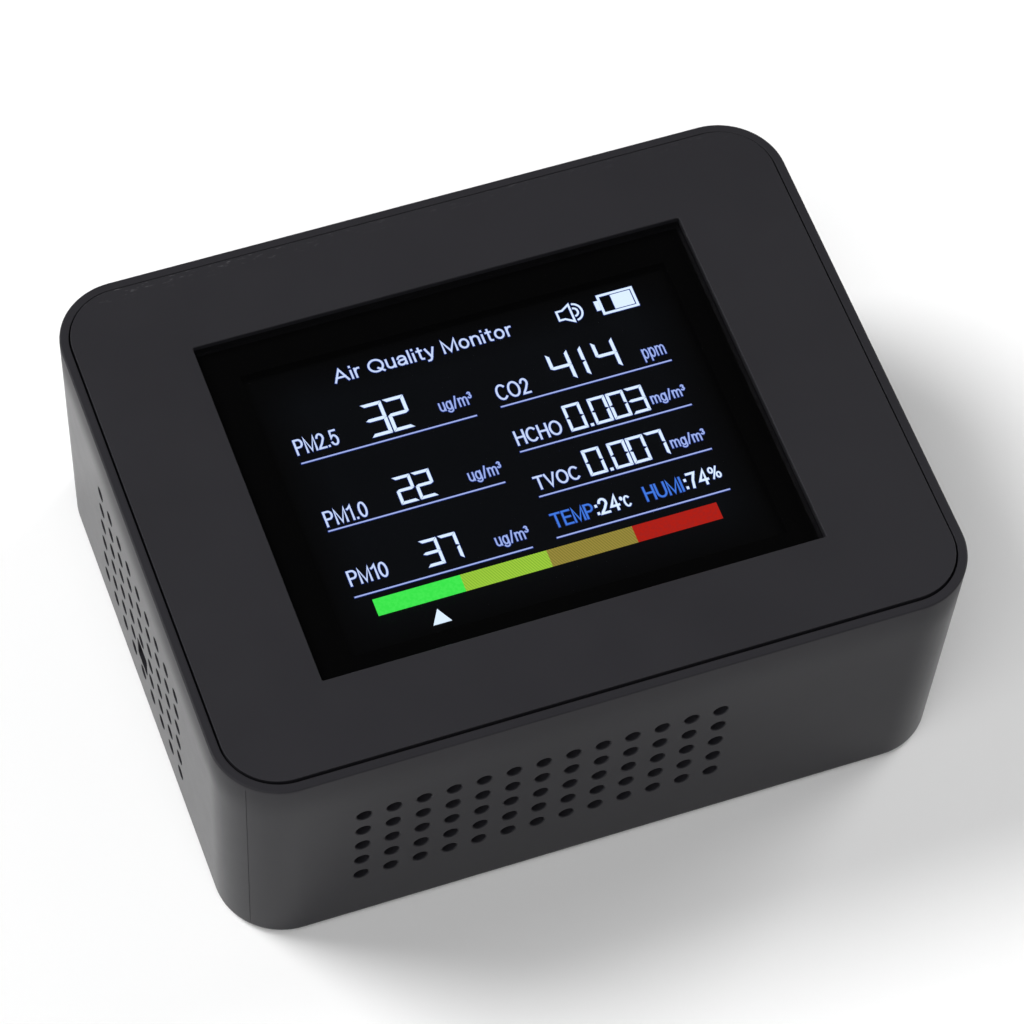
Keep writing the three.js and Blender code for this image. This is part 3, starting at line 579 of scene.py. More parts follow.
def make_button(node):
    """A cap with round ends, a flange inside the wall and a stem that reaches the switch."""
    low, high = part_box(node)
    middle = (low + high) / 2
    flange_outer = HALF_X - drawn_in(middle.z) - WALL - BUTTON_FLANGE_GAP
    flange_inner = flange_outer - BUTTON_FLANGE
    levels = [(BUTTON_FLANGE, flange_inner), (BUTTON_FLANGE, flange_outer), (0, flange_outer)]
    levels += [(-inset, high.x - drop) for inset, drop in quarter_round(BUTTON_ROUND, 4)]
    bm = bmesh.new()
    loft(bm, bar_rings(BUTTON_WIDTH / 2, BUTTON_HEIGHT / 2, levels), facing_right(middle.y, middle.z))
    button = new_object(f"{node}_cap", bm)
    stem = bmesh.new()
    profile = [(BUTTON_STEM["radius"], low.x), (BUTTON_STEM["radius"], flange_inner + SUNK)]
    turned(stem, profile, facing_right(middle.y, middle.z))
    combine(button, new_object("stem", stem), "UNION")
    dress(button, button_plastic())
    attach(button, node)
    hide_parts(node)


# ---- The lit page ----

SEGMENTS = {
    "0": "abcdef",
    "1": "bc",
    "2": "abdeg",
    "3": "abcdg",
    "4": "bcfg",
    "7": "abc",
}


def screen_point(right, down):
    """A point of the page, in metres in the CAD frame."""
    middle = centre_of("display_glass")
    x = middle.x + (right - LIT_AREA[0] / 2) * MM
    y = middle.y - (down - LIT_AREA[1] / 2) * MM
    return x, y


def page_level(halo):
    """The foot of the page's parts, just over the glass; the glow lies under the rest."""
    layer = 0 if halo else 1
    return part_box("display_glass")[1].z + PLATE_LIFT + layer * 2 * PLATE_THICKNESS


def page_plate(bm, outline, halo=0.0):
    level = page_level(halo)
    points = [screen_point(*point) for point in grown(outline, halo)]
    prism(bm, points, level, level + PLATE_THICKNESS)


def rectangle(left, right, top, bottom):
    return [(left, bottom), (right, bottom), (right, top), (left, top)]


def segment_outlines(width, height, stroke, gap):
    """The seven strokes of a digit, each as its outline, from the digit's top left."""
    w, h, t, g = width, height, stroke, gap
    m = h / 2
    return {
        "a": [(g, 0), (w - g, 0), (w - t - g, t), (t + g, t)],
        "b": [(w, g), (w, m - g), (w - t, m - t / 2 - g), (w - t, t + g)],
        "c": [(w, m + g), (w, h - g), (w - t, h - t - g), (w - t, m + t / 2 + g)],
        "d": [(g, h), (t + g, h - t), (w - t - g, h - t), (w - g, h)],
        "e": [(0, m + g), (t, m + t / 2 + g), (t, h - t - g), (0, h - g)],
        "f": [(0, g), (t, t + g), (t, m - t / 2 - g), (0, m - g)],
        "g": [(g, m), (t, m - t / 2), (w - t, m - t / 2), (w - g, m), (w - t, m + t / 2), (t, m + t / 2)],
    }


def grown(outline, amount):
    """The outline's points moved away from its middle, for the glow behind a stroke."""
    middle = sum((Vector(point) for point in outline), Vector((0, 0))) / len(outline)
    points = []
    for point in outline:
        away = Vector(point) - middle
        points.append(Vector(point) + amount * Vector((math.copysign(1, away.x), math.copysign(1, away.y))))
    return points


def add_number(bm, digits, left, right, top, bottom, stroke, halo=0.0):
    """Digits of seven strokes, spread from left to right; a point takes less room than a digit."""
    room = sum(POINT_SHARE if letter == "." else 1 for letter in digits)
    gap = 1 - DIGIT_SHARE
    pitch = (right - left) / (room - gap)
    width = pitch * DIGIT_SHARE
    at = left
    for letter in digits:
        if letter == ".":
            middle = at + pitch * (POINT_SHARE - gap) / 2
            half = stroke * POINT_HALF
            page_plate(bm, rectangle(middle - half, middle + half, bottom - 2 * half, bottom), halo)
            at += pitch * POINT_SHARE
            continue
        outlines = segment_outlines(width, bottom - top, stroke, STROKE_GAP)
        shift = at - (width - stroke) / 2 if letter == "1" else at
        for name in SEGMENTS[letter]:
            page_plate(bm, [(shift + x, top + y) for x, y in outlines[name]], halo)
        at += pitch


def arc(x, y, radius_x, radius_y, start, end):
    """Points along part of an ellipse, from one angle to another, in degrees."""
    steps = max(3, round(abs(end - start) / ARC_STEP))
    points = []
    for step in range(steps + 1):
        angle = math.radians(start + (end - start) * step / steps)
        points.append((x + radius_x * math.cos(angle), y + radius_y * math.sin(angle)))
    return points


def round_stroke(x, y, radius_x, radius_y):
    return arc(x, y, radius_x, radius_y, 0, 360)


# Each letter is its width and the lines down the middle of its strokes, for capitals one unit tall.
X_TALL = 0.73
HALF_X_TALL = X_TALL / 2
LETTERS = {
    " ": (0.1, []),
    "A": (0.84, [[(0, 0), (0.42, 1), (0.84, 0)], [(0.14, 0.33), (0.7, 0.33)]]),
    "C": (0.8, [arc(0.43, 0.5, 0.43, 0.5, 48, 312)]),
    "E": (0.62, [[(0.6, 1), (0, 1), (0, 0), (0.62, 0)], [(0, 0.53), (0.56, 0.53)]]),
    "H": (0.7, [[(0, 0), (0, 1)], [(0.7, 0), (0.7, 1)], [(0, 0.53), (0.7, 0.53)]]),
    "I": (0.02, [[(0.01, 0), (0.01, 1)]]),
    "M": (0.82, [[(0, 0), (0, 1), (0.41, 0.04), (0.82, 1), (0.82, 0)]]),
    "O": (0.9, [round_stroke(0.45, 0.5, 0.45, 0.5)]),
    "P": (0.62, [
        [(0, 0), (0, 1), (0.34, 1), *arc(0.34, 0.735, 0.28, 0.265, 75, -75), (0.34, 0.47), (0, 0.47)],
    ]),
    "Q": (0.9, [round_stroke(0.45, 0.5, 0.45, 0.5), [(0.56, 0.26), (0.88, -0.04)]]),
    "T": (0.74, [[(0, 1), (0.74, 1)], [(0.37, 1), (0.37, 0)]]),
    "U": (0.7, [[(0, 1), *arc(0.35, 0.34, 0.35, 0.34, 180, 360), (0.7, 1)]]),
    "V": (0.82, [[(0, 1), (0.41, 0), (0.82, 1)]]),
    "a": (0.48, [
        [*arc(0.24, 0.5, 0.23, 0.23, 165, 0), (0.47, 0)],
        [(0.47, 0.42), (0.24, 0.4), *arc(0.2, 0.2, 0.2, 0.2, 100, 270), (0.3, 0.02), (0.47, 0.17)],
    ]),
    "g": (0.5, [
        round_stroke(0.24, HALF_X_TALL, 0.24, HALF_X_TALL),
        [(0.5, X_TALL), *arc(0.25, -0.06, 0.25, 0.2, 0, -160)],
    ]),
    "i": (0.02, [[(0.01, 0), (0.01, 0.64)], [(0.01, 0.97), (0.01, 1)]]),
    "l": (0.02, [[(0.01, 0), (0.01, 1)]]),
    "m": (0.84, [
        [(0, 0), (0, X_TALL)],
        [(0, 0.44), *arc(0.22, 0.49, 0.2, 0.24, 160, 0), (0.42, 0)],
        [(0.42, 0.44), *arc(0.64, 0.49, 0.2, 0.24, 160, 0), (0.84, 0)],
    ]),
    "n": (0.46, [[(0, 0), (0, X_TALL)], [(0, 0.42), *arc(0.24, 0.48, 0.22, 0.25, 160, 0), (0.46, 0)]]),
    "o": (0.52, [round_stroke(0.26, HALF_X_TALL, 0.26, HALF_X_TALL)]),
    "p": (0.5, [[(0, X_TALL), (0, -0.27)], round_stroke(0.26, HALF_X_TALL, 0.24, HALF_X_TALL)]),
    "r": (0.26, [[(0, 0), (0, X_TALL)], [(0, 0.44), *arc(0.22, 0.48, 0.2, 0.25, 165, 80)]]),
    "t": (0.28, [[(0.13, 0.96), (0.13, 0.14), (0.17, 0.02), (0.28, 0)], [(0, X_TALL), (0.28, X_TALL)]]),
    "u": (0.46, [[(0, X_TALL), *arc(0.22, 0.24, 0.22, 0.24, 180, 345)], [(0.46, X_TALL), (0.46, 0)]]),
    "y": (0.5, [[(0, X_TALL), (0.25, 0)], [(0.5, X_TALL), (0.2, -0.17), (0.12, -0.26), (0, -0.27)]]),
    "0": (0.56, [round_stroke(0.28, 0.5, 0.28, 0.5)]),
    "1": (0.32, [[(0, 0.8), (0.14, 0.86), (0.28, 1), (0.28, 0)]]),
    "2": (0.56, [[*arc(0.28, 0.73, 0.26, 0.27, 165, -25), (0.3, 0.32), (0.05, 0.08), (0, 0), (0.56, 0)]]),
    "4": (0.58, [[(0.44, 0), (0.44, 1), (0, 0.3), (0.58, 0.3)]]),
    "5": (0.56, [[(0.52, 1), (0.1, 1), (0.04, 0.5), *arc(0.28, 0.33, 0.28, 0.33, 120, -155)]]),
    "7": (0.54, [[(0, 1), (0.54, 1), (0.3, 0.5), (0.2, 0)]]),
    ".": (0.08, [[(0.03, 0), (0.03, 0.02)]]),
    ":": (0.04, [[(0.02, 0.05), (0.02, 0.09)], [(0.02, 0.6), (0.02, 0.64)]]),
    "/": (0.32, [[(0, -0.02), (0.32, 1.02)]]),
    "%": (0.84, [
        [(0.64, 1), (0.2, 0)],
        round_stroke(0.16, 0.77, 0.16, 0.23),
        round_stroke(0.68, 0.23, 0.16, 0.23),
    ]),
    "³": (0.26, [[*arc(0.11, 0.94, 0.12, 0.12, 150, -90), *arc(0.11, 0.68, 0.15, 0.14, 90, -150)]]),
    "°": (0.2, [round_stroke(0.1, 0.9, 0.1, 0.12)]),
}
LETTER_SPACE = 0.26


def add_text(bm, words, left, right, baseline, capital, stroke, halo=0.0):
    """Letters of that capital height, drawn narrow or wide to reach from left to right."""
    total = sum(LETTERS[letter][0] for letter in words) + LETTER_SPACE * (len(words) - 1)
    across = (right - left - stroke) / total
    tall = capital - stroke
    at = left + stroke / 2
    for letter in words:
        width, strokes = LETTERS[letter]
        for line in strokes:
            points = [(at + x * across, baseline - stroke / 2 - y * tall) for x, y in line]
            closed = (Vector(points[0]) - Vector(points[-1])).length < 0.001
            add_stroke(bm, points[:-1] if closed else points, stroke, closed, halo)
        at += (width + LETTER_SPACE) * across


def add_stroke(bm, points, width, closed=False, halo=0.0):
    """A line of even width through points, closed or open, with mitred corners and square ends."""
    count = len(points)
    half = width / 2 + halo
    path = [Vector(point) for point in points]
    if not closed:
        path[0] += (path[0] - path[1]).normalized() * half
        path[-1] += (path[-1] - path[-2]).normalized() * half
    left = []
    right = []
    for i, point in enumerate(path):
        ahead = path[(i + 1) % count] - point if closed or i < count - 1 else point - path[i - 1]
        behind = point - path[i - 1] if closed or i > 0 else ahead
        across = Vector((-ahead.y, ahead.x)).normalized()
        side = (across + Vector((-behind.y, behind.x)).normalized()).normalized()
        reach = half / max(MITRE_LIMIT, side.dot(across))
        left.append(point + side * reach)
        right.append(point - side * reach)
    level = page_level(halo)
    rows = []
    for offset, row in ((0, left), (0, right), (PLATE_THICKNESS, right), (PLATE_THICKNESS, left)):
        rows.append([bm.verts.new((*screen_point(*point), level + offset)) for point in row])
    skin(bm, rows, round_rows=True, round_points=closed)
    if not closed:
        for end in (0, -1):
            bm.faces.new([row[end] for row in rows])


def page_piece(name, bm, material):
    obj = new_object(name, bm)
    obj.data.materials.append(material)
    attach(obj, "case")


def draw_icons(bm, halo):
    """The battery sign and the loudspeaker sign."""
    add_stroke(bm, rectangle(*BATTERY_CASE), BATTERY_STROKE, True, halo)
    for plate in (BATTERY_CAP, BATTERY_CHARGE):
        page_plate(bm, rectangle(*plate), halo)
    add_stroke(bm, HORN, SPEAKER_STROKE, True, halo)
    for radius in WAVE_RADII:
        wave = arc(*WAVE_CENTRE, radius * 0.85, radius, -80, 80)
        add_stroke(bm, wave, SPEAKER_STROKE, False, halo)


def draw_page(parts, halo=0.0):
    """Draws the page into the meshes in parts; a halo widens every stroke, for the glow."""
    for name, rows, draw in (
        ("title", TITLE, add_text),
        ("labels", LABELS, add_text),
        ("units", UNITS, add_text),
        ("numbers", NUMBERS, add_number),
        ("blue_words", BLUE_WORDS, add_text),
        ("climate_values", CLIMATE_VALUES, add_text),
    ):
        for row in rows:
            draw(parts[name], *row, halo)
    half = LINE_WIDTH / 2
    for levels, column in ((LEFT_LINES, LEFT_COLUMN), (RIGHT_LINES, RIGHT_COLUMN)):
        for level in levels:
            page_plate(parts["lines"], rectangle(*column, level - half, level + half), halo)
    draw_icons(parts["icons"], halo)


def make_page():
    """The page's parts, each in its own tone, over the blue bleed of their light."""
    white = light("white_pixels", (0.7, 0.84, 1.0), 2.5)
    pale = light("pale_pixels", (0.6, 0.72, 1.0), 2.3)
    blue = light("blue_pixels", (0.06, 0.23, 0.9), 2.0)
    bleed = light("pixel_bleed", (0.04, 0.1, 0.62), 0.9)
    tones = {
        "title": pale,
        "labels": pale,
        "units": light("dim_pixels", (0.42, 0.54, 1.0), 2.0),
        "numbers": white,
        "blue_words": blue,
        "climate_values": white,
        "lines": light("line_pixels", (0.46, 0.56, 1.0), 2.0),
        "icons": white,
    }
    parts = {name: bmesh.new() for name in tones}
    draw_page(parts)
    for name, bm in parts.items():
        page_piece(f"page_{name}", bm, tones[name])
    glow = bmesh.new()
    draw_page(dict.fromkeys(tones, glow), HALO)
    page_piece("page_bleed", glow, bleed)
    bm = bmesh.new()
    page_plate(bm, POINTER)
    page_piece("page_pointer", bm, white)
    edges = BAR["edges"]
    for (name, colour, other, slanted), left, right in zip(BAR_COLOURS, edges, edges[1:]):
        bm = bmesh.new()
        page_plate(bm, rectangle(left, right, BAR["top"], BAR["bottom"]))
        page_piece(name, bm, bar_light(f"{name}_light", colour, other, slanted))


def corners(low_x, high_x, low_y, high_y, level):
    return [Vector((x, y, level)) for x, y in rectangle(low_x, high_x, low_y, high_y)]


def make_lens_border():
    """The black ink printed on the back of the window lens, round the display's lit area."""
    low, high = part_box("window_lens")
    lit = centre_of("display_glass")
    top = low.z - INK["gap"]
    bottom = top - INK["thickness"]
    edge = INK["edge"]
    outer = (low.x + edge, high.x - edge, low.y + edge, high.y - edge)
    reach_x = LIT_AREA[0] / 2 * MM + INK["margin"]
    reach_y = LIT_AREA[1] / 2 * MM + INK["margin"]
    inner = (lit.x - reach_x, lit.x + reach_x, lit.y - reach_y, lit.y + reach_y)
    bm = bmesh.new()
    rows = []
    for sides, level in ((outer, bottom), (outer, top), (inner, top), (inner, bottom)):
        rows.append([bm.verts.new(point) for point in corners(*sides, level)])
    skin(bm, rows, round_rows=True)
    border = new_object("lens_border", bm)
    border.data.materials.append(border_ink())
    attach(border, "case")


# ---- Materials ----


class Nodes:
    """Short calls for the nodes of one material."""

    def __init__(self, name):
        self.material = bpy.data.materials.new(name)
        self.material.use_nodes = True
        self.tree = self.material.node_tree
        self.shader = self.tree.nodes["Principled BSDF"]
        coordinates = self.tree.nodes.new("ShaderNodeTexCoord")
        self.place = coordinates.outputs["Object"]

    def feed(self, target, value):
        """Sets an input to a number, a vector or a colour, or links another node's output to it."""
        if isinstance(value, tuple):
            target.default_value = (*value, 1)[: len(target.default_value)]
        elif isinstance(value, (int, float)):
            target.default_value = value
        else:
            self.tree.links.new(value, target)

    def node(self, kind, inputs, **settings):
        made = self.tree.nodes.new(f"ShaderNode{kind}")
        for key, value in settings.items():
            setattr(made, key, value)
        for socket, value in inputs.items():
            self.feed(made.inputs[socket], value)
        return made

    def noise(self, size, detail=2.0, roughness=0.5, vector=None):
        """Cloudy values from 0 to 1, with features of about that size in metres."""
        inputs = {"Scale": 1 / size, "Detail": detail, "Roughness": roughness}
        inputs["Vector"] = vector or self.place
        return self.node("TexNoise", inputs).outputs["Fac"]

    def cells(self, size):
        """A Voronoi node with cells of about that size."""
        return self.node("TexVoronoi", {"Scale": 1 / size, "Vector": self.place})

    def stretched(self, x, y, z):
        """The place with each axis scaled, for streaks."""
        return self.node("Mapping", {"Scale": (x, y, z), "Vector": self.place}).outputs["Vector"]

    def range(self, value, low, high, to_low, to_high, soft=False):
        """Maps low..high to to_low..to_high, held at both ends and eased into them when soft."""
        inputs = {"Value": value, "From Min": low, "From Max": high, "To Min": to_low, "To Max": to_high}
        kind = "SMOOTHSTEP" if soft else "LINEAR"
        return self.node("MapRange", inputs, interpolation_type=kind).outputs["Result"]

    def maths(self, operation, a, b=0.0):
        return self.node("Math", {0: a, 1: b}, operation=operation).outputs["Value"]

    def mix(self, share, a, b):
        """A colour between a and b."""
        return self.node("Mix", {"Factor": share, 6: a, 7: b}, data_type="RGBA").outputs[2]

    def split(self):
        return self.node("SeparateXYZ", {0: self.place}).outputs

    def length(self):
        """The distance from the origin."""
        return self.node("VectorMath", {0: self.place}, operation="LENGTH").outputs["Value"]

    def bump(self, height, distance, strength=1.0):
        made = self.node("Bump", {"Distance": distance, "Strength": strength, "Height": height})
        self.set("Normal", made.outputs["Normal"])

    def set(self, socket, value):
        self.feed(self.shader.inputs[socket], value)

    def paint(self, share, a, b):
        """A base colour between a and b."""
        self.set("Base Color", self.mix(share, a, b))

    def gloss(self, marks, low, high):
        """A roughness from low to high, as cloudy marks run from 0.3 to 0.7."""
        self.set("Roughness", self.range(marks, 0.3, 0.7, low, high))


def dust(nodes, size, share, reach):
    """Sparse specks: 1 on a speck and 0 elsewhere. share of the cells hold one, of radius reach cells."""
    cells = nodes.cells(size)
    chosen = nodes.range(cells.outputs["Color"], 1 - share, 1 - share + 0.01, 0, 1)
    near = nodes.range(cells.outputs["Distance"], reach * 0.5, reach, 1, 0)
    return nodes.maths("MULTIPLY", chosen, near)


def moulded(name, colour, roughness, specular, grain=0.16 * MM, depth=0.004 * MM):
    """Plain moulded plastic: fine spark texture, cloudy gloss and a slight change of tone."""
    nodes = Nodes(name)
    cloud = nodes.noise(14 * MM, 3)
    darker = tuple(channel * 0.86 for channel in colour)
    nodes.paint(nodes.range(cloud, 0.35, 0.65, 0, 1), darker, colour)
    gloss = nodes.noise(5 * MM, 4, 0.6)
    nodes.gloss(gloss, roughness - 0.04, roughness + 0.04)
    nodes.set("Specular IOR Level", specular)
    nodes.bump(nodes.noise(grain, 3), depth)
    return nodes.material


def case_plastic():
    """Satin dark grey ABS with a fine spark texture, duller under the rim, with a few specks of dust."""
    nodes = Nodes("case_abs")
    cloud = nodes.noise(16 * MM, 4, 0.55)
    patches = nodes.range(cloud, 0.35, 0.65, 0, 1)
    base = nodes.mix(patches, (0.0158, 0.0153, 0.0182), (0.0174, 0.0168, 0.02))
    specks = dust(nodes, 4 * MM, 0.3, 0.03)
    nodes.paint(specks, base, (0.2, 0.195, 0.19))
    height = nodes.split()[2]
    dull = nodes.range(height, RIM_TOP - 9 * MM, RIM_TOP - 0.4 * MM, 0, 0.2, soft=True)
    marks = nodes.range(nodes.noise(3 * MM, 5, 0.65), 0.3, 0.7, 0.28, 0.3)
    nodes.set("Roughness", nodes.maths("ADD", marks, dull))
    nodes.set("Specular IOR Level", 0.13)
    nodes.bump(nodes.noise(0.2 * MM, 3), 0.005 * MM)
    return nodes.material


def edge_wear(nodes):
    """Short pale rubs along the panel's back edge, thicker towards its left end."""
    x, y, _ = nodes.split()
    near = nodes.range(y, HALF_Y - 3.4 * MM, HALF_Y - 1.6 * MM, 0, 1)
    left = nodes.range(x, -HALF_X, 0, 1, 0.2)
    rubs = nodes.range(nodes.noise(0.5 * MM, 3, 0.7, nodes.stretched(0.3, 1, 1)), 0.58, 0.68, 0, 1)
    return nodes.maths("MULTIPLY", nodes.maths("MULTIPLY", near, left), rubs)


def panel_plastic():
    """The panel's finer, more even matt black."""
    nodes = Nodes("panel_abs")
    cloud = nodes.noise(22 * MM, 3, 0.5)
    patches = nodes.range(cloud, 0.35, 0.65, 0, 1)
    base = nodes.mix(patches, (0.0148, 0.0143, 0.0172), (0.0158, 0.0153, 0.0184))
    specks = dust(nodes, 7 * MM, 0.1, 0.02)
    base = nodes.mix(edge_wear(nodes), base, (0.09, 0.088, 0.095))
    nodes.paint(specks, base, (0.12, 0.12, 0.12))
    nodes.gloss(nodes.noise(9 * MM, 4), 0.45, 0.49)
    nodes.set("Specular IOR Level", 0.2)
    nodes.bump(nodes.noise(0.12 * MM, 3), 0.002 * MM)
    return nodes.material


def button_plastic():
    return moulded("button_abs", (0.017, 0.017, 0.0185), 0.42, 0.35)


def smoked_lens():
    """Polished smoked acrylic that lets the page through."""
    nodes = Nodes("smoked_acrylic")
    nodes.set("Base Color", (0.0005, 0.0005, 0.0006))
    nodes.set("Roughness", nodes.range(nodes.noise(3 * MM, 4, 0.6), 0.35, 0.7, 0.02, 0.05))
    nodes.set("Specular IOR Level", 0.35)
    nodes.set("Alpha", 0.35)
    return nodes.material


def border_ink():
    """Screen-printed black ink."""
    nodes = Nodes("black_ink")
    grain = nodes.noise(0.3 * MM, 2)
    nodes.paint(grain, (0.0004, 0.0004, 0.0005), (0.0007, 0.0007, 0.0008))
    nodes.gloss(nodes.noise(1 * MM, 3), 0.6, 0.7)
    nodes.set("Specular IOR Level", 0.05)
    return nodes.material


def screen_glass():
    """The display's black face, with the faint glow of its lit area, soft at the edge."""
    nodes = Nodes("display_face")
    grain = nodes.noise(1 * MM)
    nodes.paint(grain, (0.0012, 0.0013, 0.0016), (0.0016, 0.0017, 0.0022))
    nodes.set("Roughness", 0.25)
    middle = centre_of("display_glass")
    place = nodes.split()
    share = None
    for axis, size in enumerate(LIT_AREA):
        offset = nodes.maths("ABSOLUTE", nodes.maths("SUBTRACT", place[axis], middle[axis]))
        half = size / 2 * MM
        inside = nodes.range(offset, half - 6 * MM, half + 0.4 * MM, 1, 0)
        share = inside if share is None else nodes.maths("MULTIPLY", share, inside)
    cloud = nodes.range(nodes.noise(12 * MM, 2), 0.3, 0.7, 0.85, 1)
    nodes.set("Emission Color", (0.55, 0.7, 1.0))
    nodes.set("Emission Strength", nodes.maths("MULTIPLY", nodes.maths("MULTIPLY", share, cloud), 0.0075))
    return nodes.material


def light(name, colour, strength):
    """A lit part of the page, over the display's fine dot grid."""
    nodes = Nodes(name)
    dots = nodes.range(nodes.noise(0.1 * MM, 1), 0.4, 0.6, 0, 1)
    nodes.paint(dots, (0.001, 0.001, 0.002), (0.01, 0.012, 0.02))
    nodes.set("Roughness", nodes.range(dots, 0, 1, 0.3, 0.5))
    nodes.set("Emission Color", colour)
    nodes.set("Emission Strength", strength)
    return nodes.material


def bar_light(name, colour, other, slanted):
    """A lit bar of two tones, in fine slanted lines or in soft dots."""
    nodes = Nodes(name)
    nodes.set("Base Color", (0.0, 0.0, 0.0))
    nodes.set("Roughness", 0.3)
    if slanted:
        place = nodes.split()
        slant = nodes.maths("ADD", place[0], nodes.maths("MULTIPLY", place[1], 0.5))
        wave = nodes.maths("SINE", nodes.maths("MULTIPLY", slant, 2 * math.pi / (0.36 * MM)))
        share = nodes.range(wave, -0.5, 0.5, 0, 1)
    else:
        share = nodes.range(nodes.noise(0.4 * MM, 1), 0.4, 0.6, 0, 1)
    nodes.set("Emission Color", nodes.mix(share, colour, other))
    nodes.set("Emission Strength", 2.2)
    return nodes.material


def metal(name, colour, roughness, streak):
    """Sheet or turned metal with fine streaks along X."""
    nodes = Nodes(name)
    lines = nodes.noise(streak, 4, 0.6, nodes.stretched(0.06, 1, 1))
    darker = tuple(channel * 0.8 for channel in colour)
    nodes.paint(lines, darker, colour)
    nodes.set("Metallic", 1.0)
    nodes.gloss(lines, roughness - 0.06, roughness + 0.08)
    nodes.bump(lines, 0.002 * MM)
    return nodes.material


def circuit_board():
    """Green solder mask over copper tracks."""
    nodes = Nodes("solder_mask")
    cells = nodes.cells(1.3 * MM)
    cells.distance = "CHEBYCHEV"
    cells.feature = "DISTANCE_TO_EDGE"
    track = nodes.range(cells.outputs["Distance"], 0.05, 0.09, 1, 0)
    nodes.paint(track, (0.008, 0.07, 0.028), (0.016, 0.15, 0.05))
    nodes.gloss(nodes.noise(1 * MM, 3), 0.3, 0.42)
    nodes.bump(track, 0.01 * MM, 0.6)
    return nodes.material


def foam():
    nodes = Nodes("closed_cell_foam")
    cells = nodes.cells(0.35 * MM)
    bubble = cells.outputs["Distance"]
    nodes.paint(bubble, (0.012, 0.012, 0.013), (0.045, 0.045, 0.048))
    nodes.set("Roughness", nodes.range(bubble, 0, 0.6, 0.95, 0.8))
    nodes.bump(bubble, 0.05 * MM, 0.7)
    return nodes.material


def amber_film():
    """Polyimide film with copper lines showing through."""
    nodes = Nodes("polyimide_film")
    place = nodes.split()
    wave = nodes.maths("SINE", nodes.maths("MULTIPLY", place[1], 2 * math.pi / (0.8 * MM)))
    lines = nodes.range(wave, -0.3, 0.3, 0, 1)
    nodes.paint(lines, (0.42, 0.16, 0.03), (0.6, 0.3, 0.08))
    nodes.gloss(nodes.noise(1 * MM, 3), 0.28, 0.4)
    nodes.bump(wave, 0.01 * MM, 0.5)
    return nodes.material


def cell_wrap():
    """Shrunk film round the battery, with fine creases."""
    nodes = Nodes("shrink_film")
    crease = nodes.noise(0.8 * MM, 4, 0.6, nodes.stretched(1, 0.15, 1))
    nodes.paint(crease, (0.006, 0.02, 0.06), (0.01, 0.032, 0.09))
    nodes.gloss(crease, 0.25, 0.4)
    nodes.bump(crease, 0.02 * MM)
    return nodes.material


def inner_materials():
    """One material for each of the record's slots that carried-over CAD pieces use."""
    return {
        "lens": smoked_lens(),
        "display_glass": screen_glass(),
        "white_plastic": moulded("white_abs", (0.72, 0.72, 0.69), 0.5, 0.4),
        "steel": metal("tinned_steel", (0.5, 0.51, 0.53), 0.32, 0.5 * MM),
        "screw_steel": metal("black_zinc", (0.17, 0.17, 0.18), 0.35, 0.2 * MM),
        "circuit_board": circuit_board(),
        "amber_film": amber_film(),
        "black_plastic": moulded("black_abs", (0.013, 0.013, 0.014), 0.45, 0.4),
        "foam": foam(),
        "blue_plastic": moulded("blue_abs", (0.03, 0.11, 0.36), 0.42, 0.4),
        "brass": metal("plated_brass", (0.55, 0.39, 0.13), 0.3, 0.4 * MM),
        "black_wire": moulded("black_insulation", (0.011, 0.011, 0.012), 0.5, 0.4, 0.3 * MM),
        "red_wire": moulded("red_insulation", (0.36, 0.012, 0.011), 0.5, 0.4, 0.3 * MM),
        "cell_wrap": cell_wrap(),
        "foot_rubber": moulded("soft_rubber", (0.012, 0.012, 0.0125), 0.78, 0.25, 0.1 * MM, 0.01 * MM),
    }


# ---- Carried-over CAD pieces ----

PLAIN_BEVEL = 0.12 * MM
OTHER_BEVELS = {"display_glass": 0.1 * MM, "foot": 0.3 * MM, "battery": 0.35 * MM}
NO_BEVEL = ("lead", "fan", "ribbon", "vapour", "formaldehyde")


def bevel_width(name):
    for word, width in OTHER_BEVELS.items():
        if word in name:
            return width
    return PLAIN_BEVEL


def dress_cad_nodes():
    """Gives every CAD node that still shows its material, and a fine round on its edges."""
    slots = {part["node"]: part["material_slot"] for part in frame["record"]["subparts"]}
    materials = inner_materials()
    for name, obj in frame["nodes"].items():
        if obj.hide_render:
            continue
        obj.data.materials.clear()
        obj.data.materials.append(materials[slots[name]])
        if not any(word in name for word in NO_BEVEL):
            bevel = obj.modifiers.new("edges", "BEVEL")
            bevel.width = bevel_width(name)
            bevel.segments = 2
            bevel.limit_method = "ANGLE"
            bevel.angle_limit = math.radians(40)


# ---- Stage ----

CAMERA = {
    "target": (1.735 * MM, 1.184 * MM, 20 * MM),
    "azimuth": -23.845,
    "elevation": 57.423,
    "roll": 4.741,
    "distance": 615.75 * MM,
    "lens": 163.44,
}


def direction(azimuth, elevation):
    """The way from the object to something seen at that azimuth and elevation, in degrees."""
    a = math.radians(azimuth)
    e = math.radians(elevation)
    return Vector((math.sin(a) * math.cos(e), -math.cos(a) * math.cos(e), math.sin(e)))


def make_camera():
    """The photo's camera, turned about its own axis by the roll."""
    data = bpy.data.cameras.new("camera")
    data.lens = CAMERA["lens"]
    data.sensor_width = 36
    camera = bpy.data.objects.new("camera", data)
    bpy.context.scene.collection.objects.link(camera)
    back = direction(CAMERA["azimuth"], CAMERA["elevation"])
    right = Vector((-back.y, back.x, 0)).normalized()
    up = back.cross(right)
    roll = math.radians(CAMERA["roll"])
    axis_x = right * math.cos(roll) + up * math.sin(roll)
    axis_y = up * math.cos(roll) - right * math.sin(roll)
    turn = Matrix((axis_x, axis_y, back)).transposed().to_4x4()
    place = Vector(CAMERA["target"]) + back * CAMERA["distance"]
    camera.matrix_world = Matrix.Translation(place) @ turn
    bpy.context.scene.camera = camera


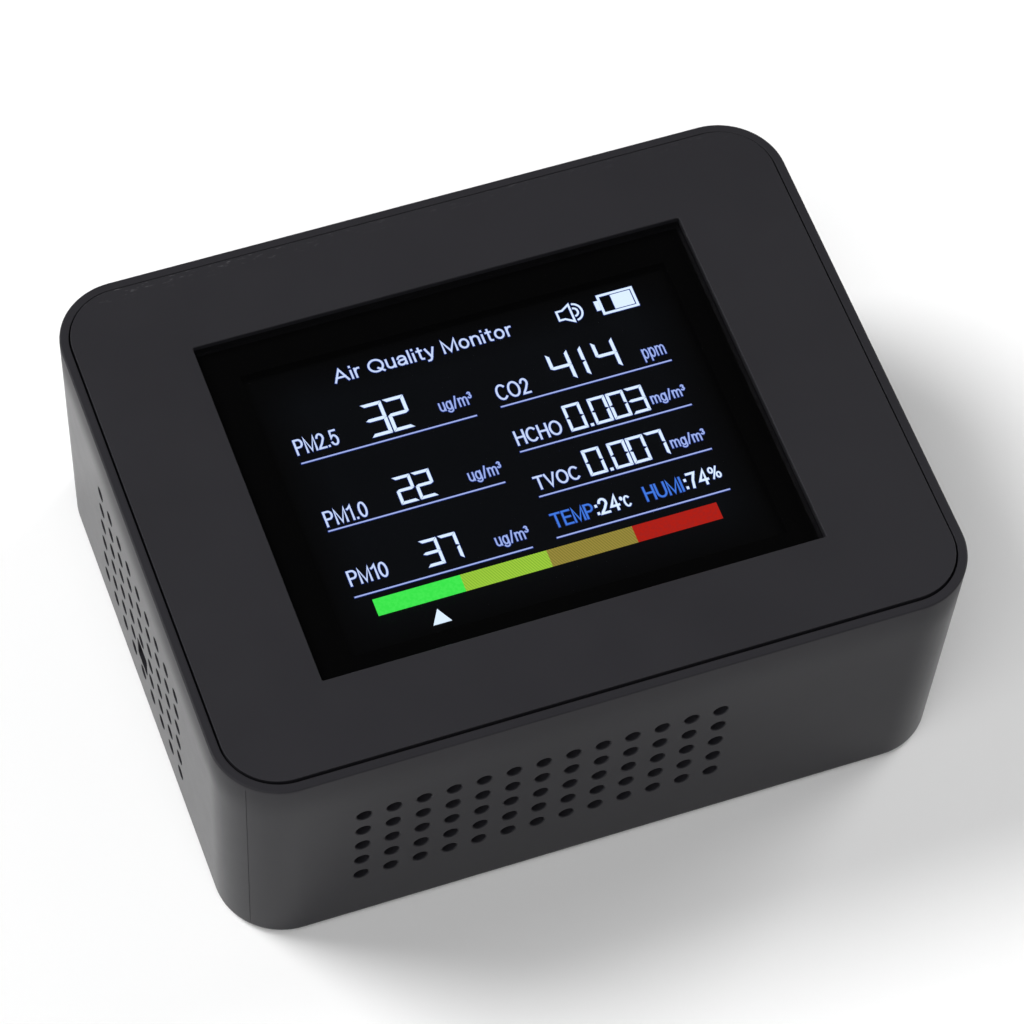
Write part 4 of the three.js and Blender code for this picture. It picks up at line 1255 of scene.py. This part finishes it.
# Lights: the name, azimuth and elevation, distance and width in metres, and power in watts.
LIGHTS = (
    ("overhead", -35, 56, 1.7, 1.5, 15.5),
    ("back_left", -128, 46, 1.5, 0.7, 19),
    ("back_right", 110, 38, 1.5, 0.7, 8),
)
WORLD_GLOW = 0.055
# The floor's radius and height at each ring, and where its own light starts and is full, all in metres.
FLOOR_RISE = ((0.5, 0), (2, 0), (3, 0.02), (3.6, 0.12), (4, 0.4), (4.2, 0.9))
FLOOR_SIDES = 96
FLOOR_GLOW = {"start": 0.7, "full": 2.4, "strength": 0.8}


def make_floor():
    """A wide pale paper sweep, lifted and lit towards its edge, so that it stays pale to the horizon."""
    bm = bmesh.new()
    rings = []
    for radius, rise in FLOOR_RISE:
        rings.append([bm.verts.new(point) for point in circle_ring(radius, rise, FLOOR_SIDES)])
    skin(bm, rings)
    bm.faces.new(rings[0])
    floor = new_object("floor", bm)
    shade(floor)
    nodes = Nodes("floor_paper")
    nodes.set("Base Color", (0.9, 0.9, 0.9))
    nodes.set("Roughness", 0.9)
    nodes.set("Specular IOR Level", 0.1)
    nodes.set("Emission Color", (1.0, 1.0, 1.0))
    start, full, strength = FLOOR_GLOW.values()
    nodes.set("Emission Strength", nodes.range(nodes.length(), start, full, 0, strength))
    floor.data.materials.append(nodes.material)


def area_light(name, azimuth, elevation, distance, size, power):
    """A round soft light that faces the object, size metres across."""
    data = bpy.data.lights.new(name, "AREA")
    data.shape = "DISK"
    data.size = size
    data.energy = power
    lamp = bpy.data.objects.new(name, data)
    bpy.context.scene.collection.objects.link(lamp)
    back = direction(azimuth, elevation)
    turn = back.to_track_quat("Z", "Y").to_matrix().to_4x4()
    lamp.matrix_world = Matrix.Translation(back * distance) @ turn


def make_lights():
    for light_row in LIGHTS:
        area_light(*light_row)
    world = bpy.data.worlds.new("studio")
    world.use_nodes = True
    background = world.node_tree.nodes["Background"]
    background.inputs["Color"].default_value = (1, 1, 1, 1)
    background.inputs["Strength"].default_value = WORLD_GLOW
    bpy.context.scene.world = world
    bpy.context.scene.view_settings.view_transform = "Standard"


make_camera()
make_lights()
make_floor()
make_case()
make_panel()
make_button("power_button")
make_button("sound_button")
make_lens_border()
make_page()
dress_cad_nodes()
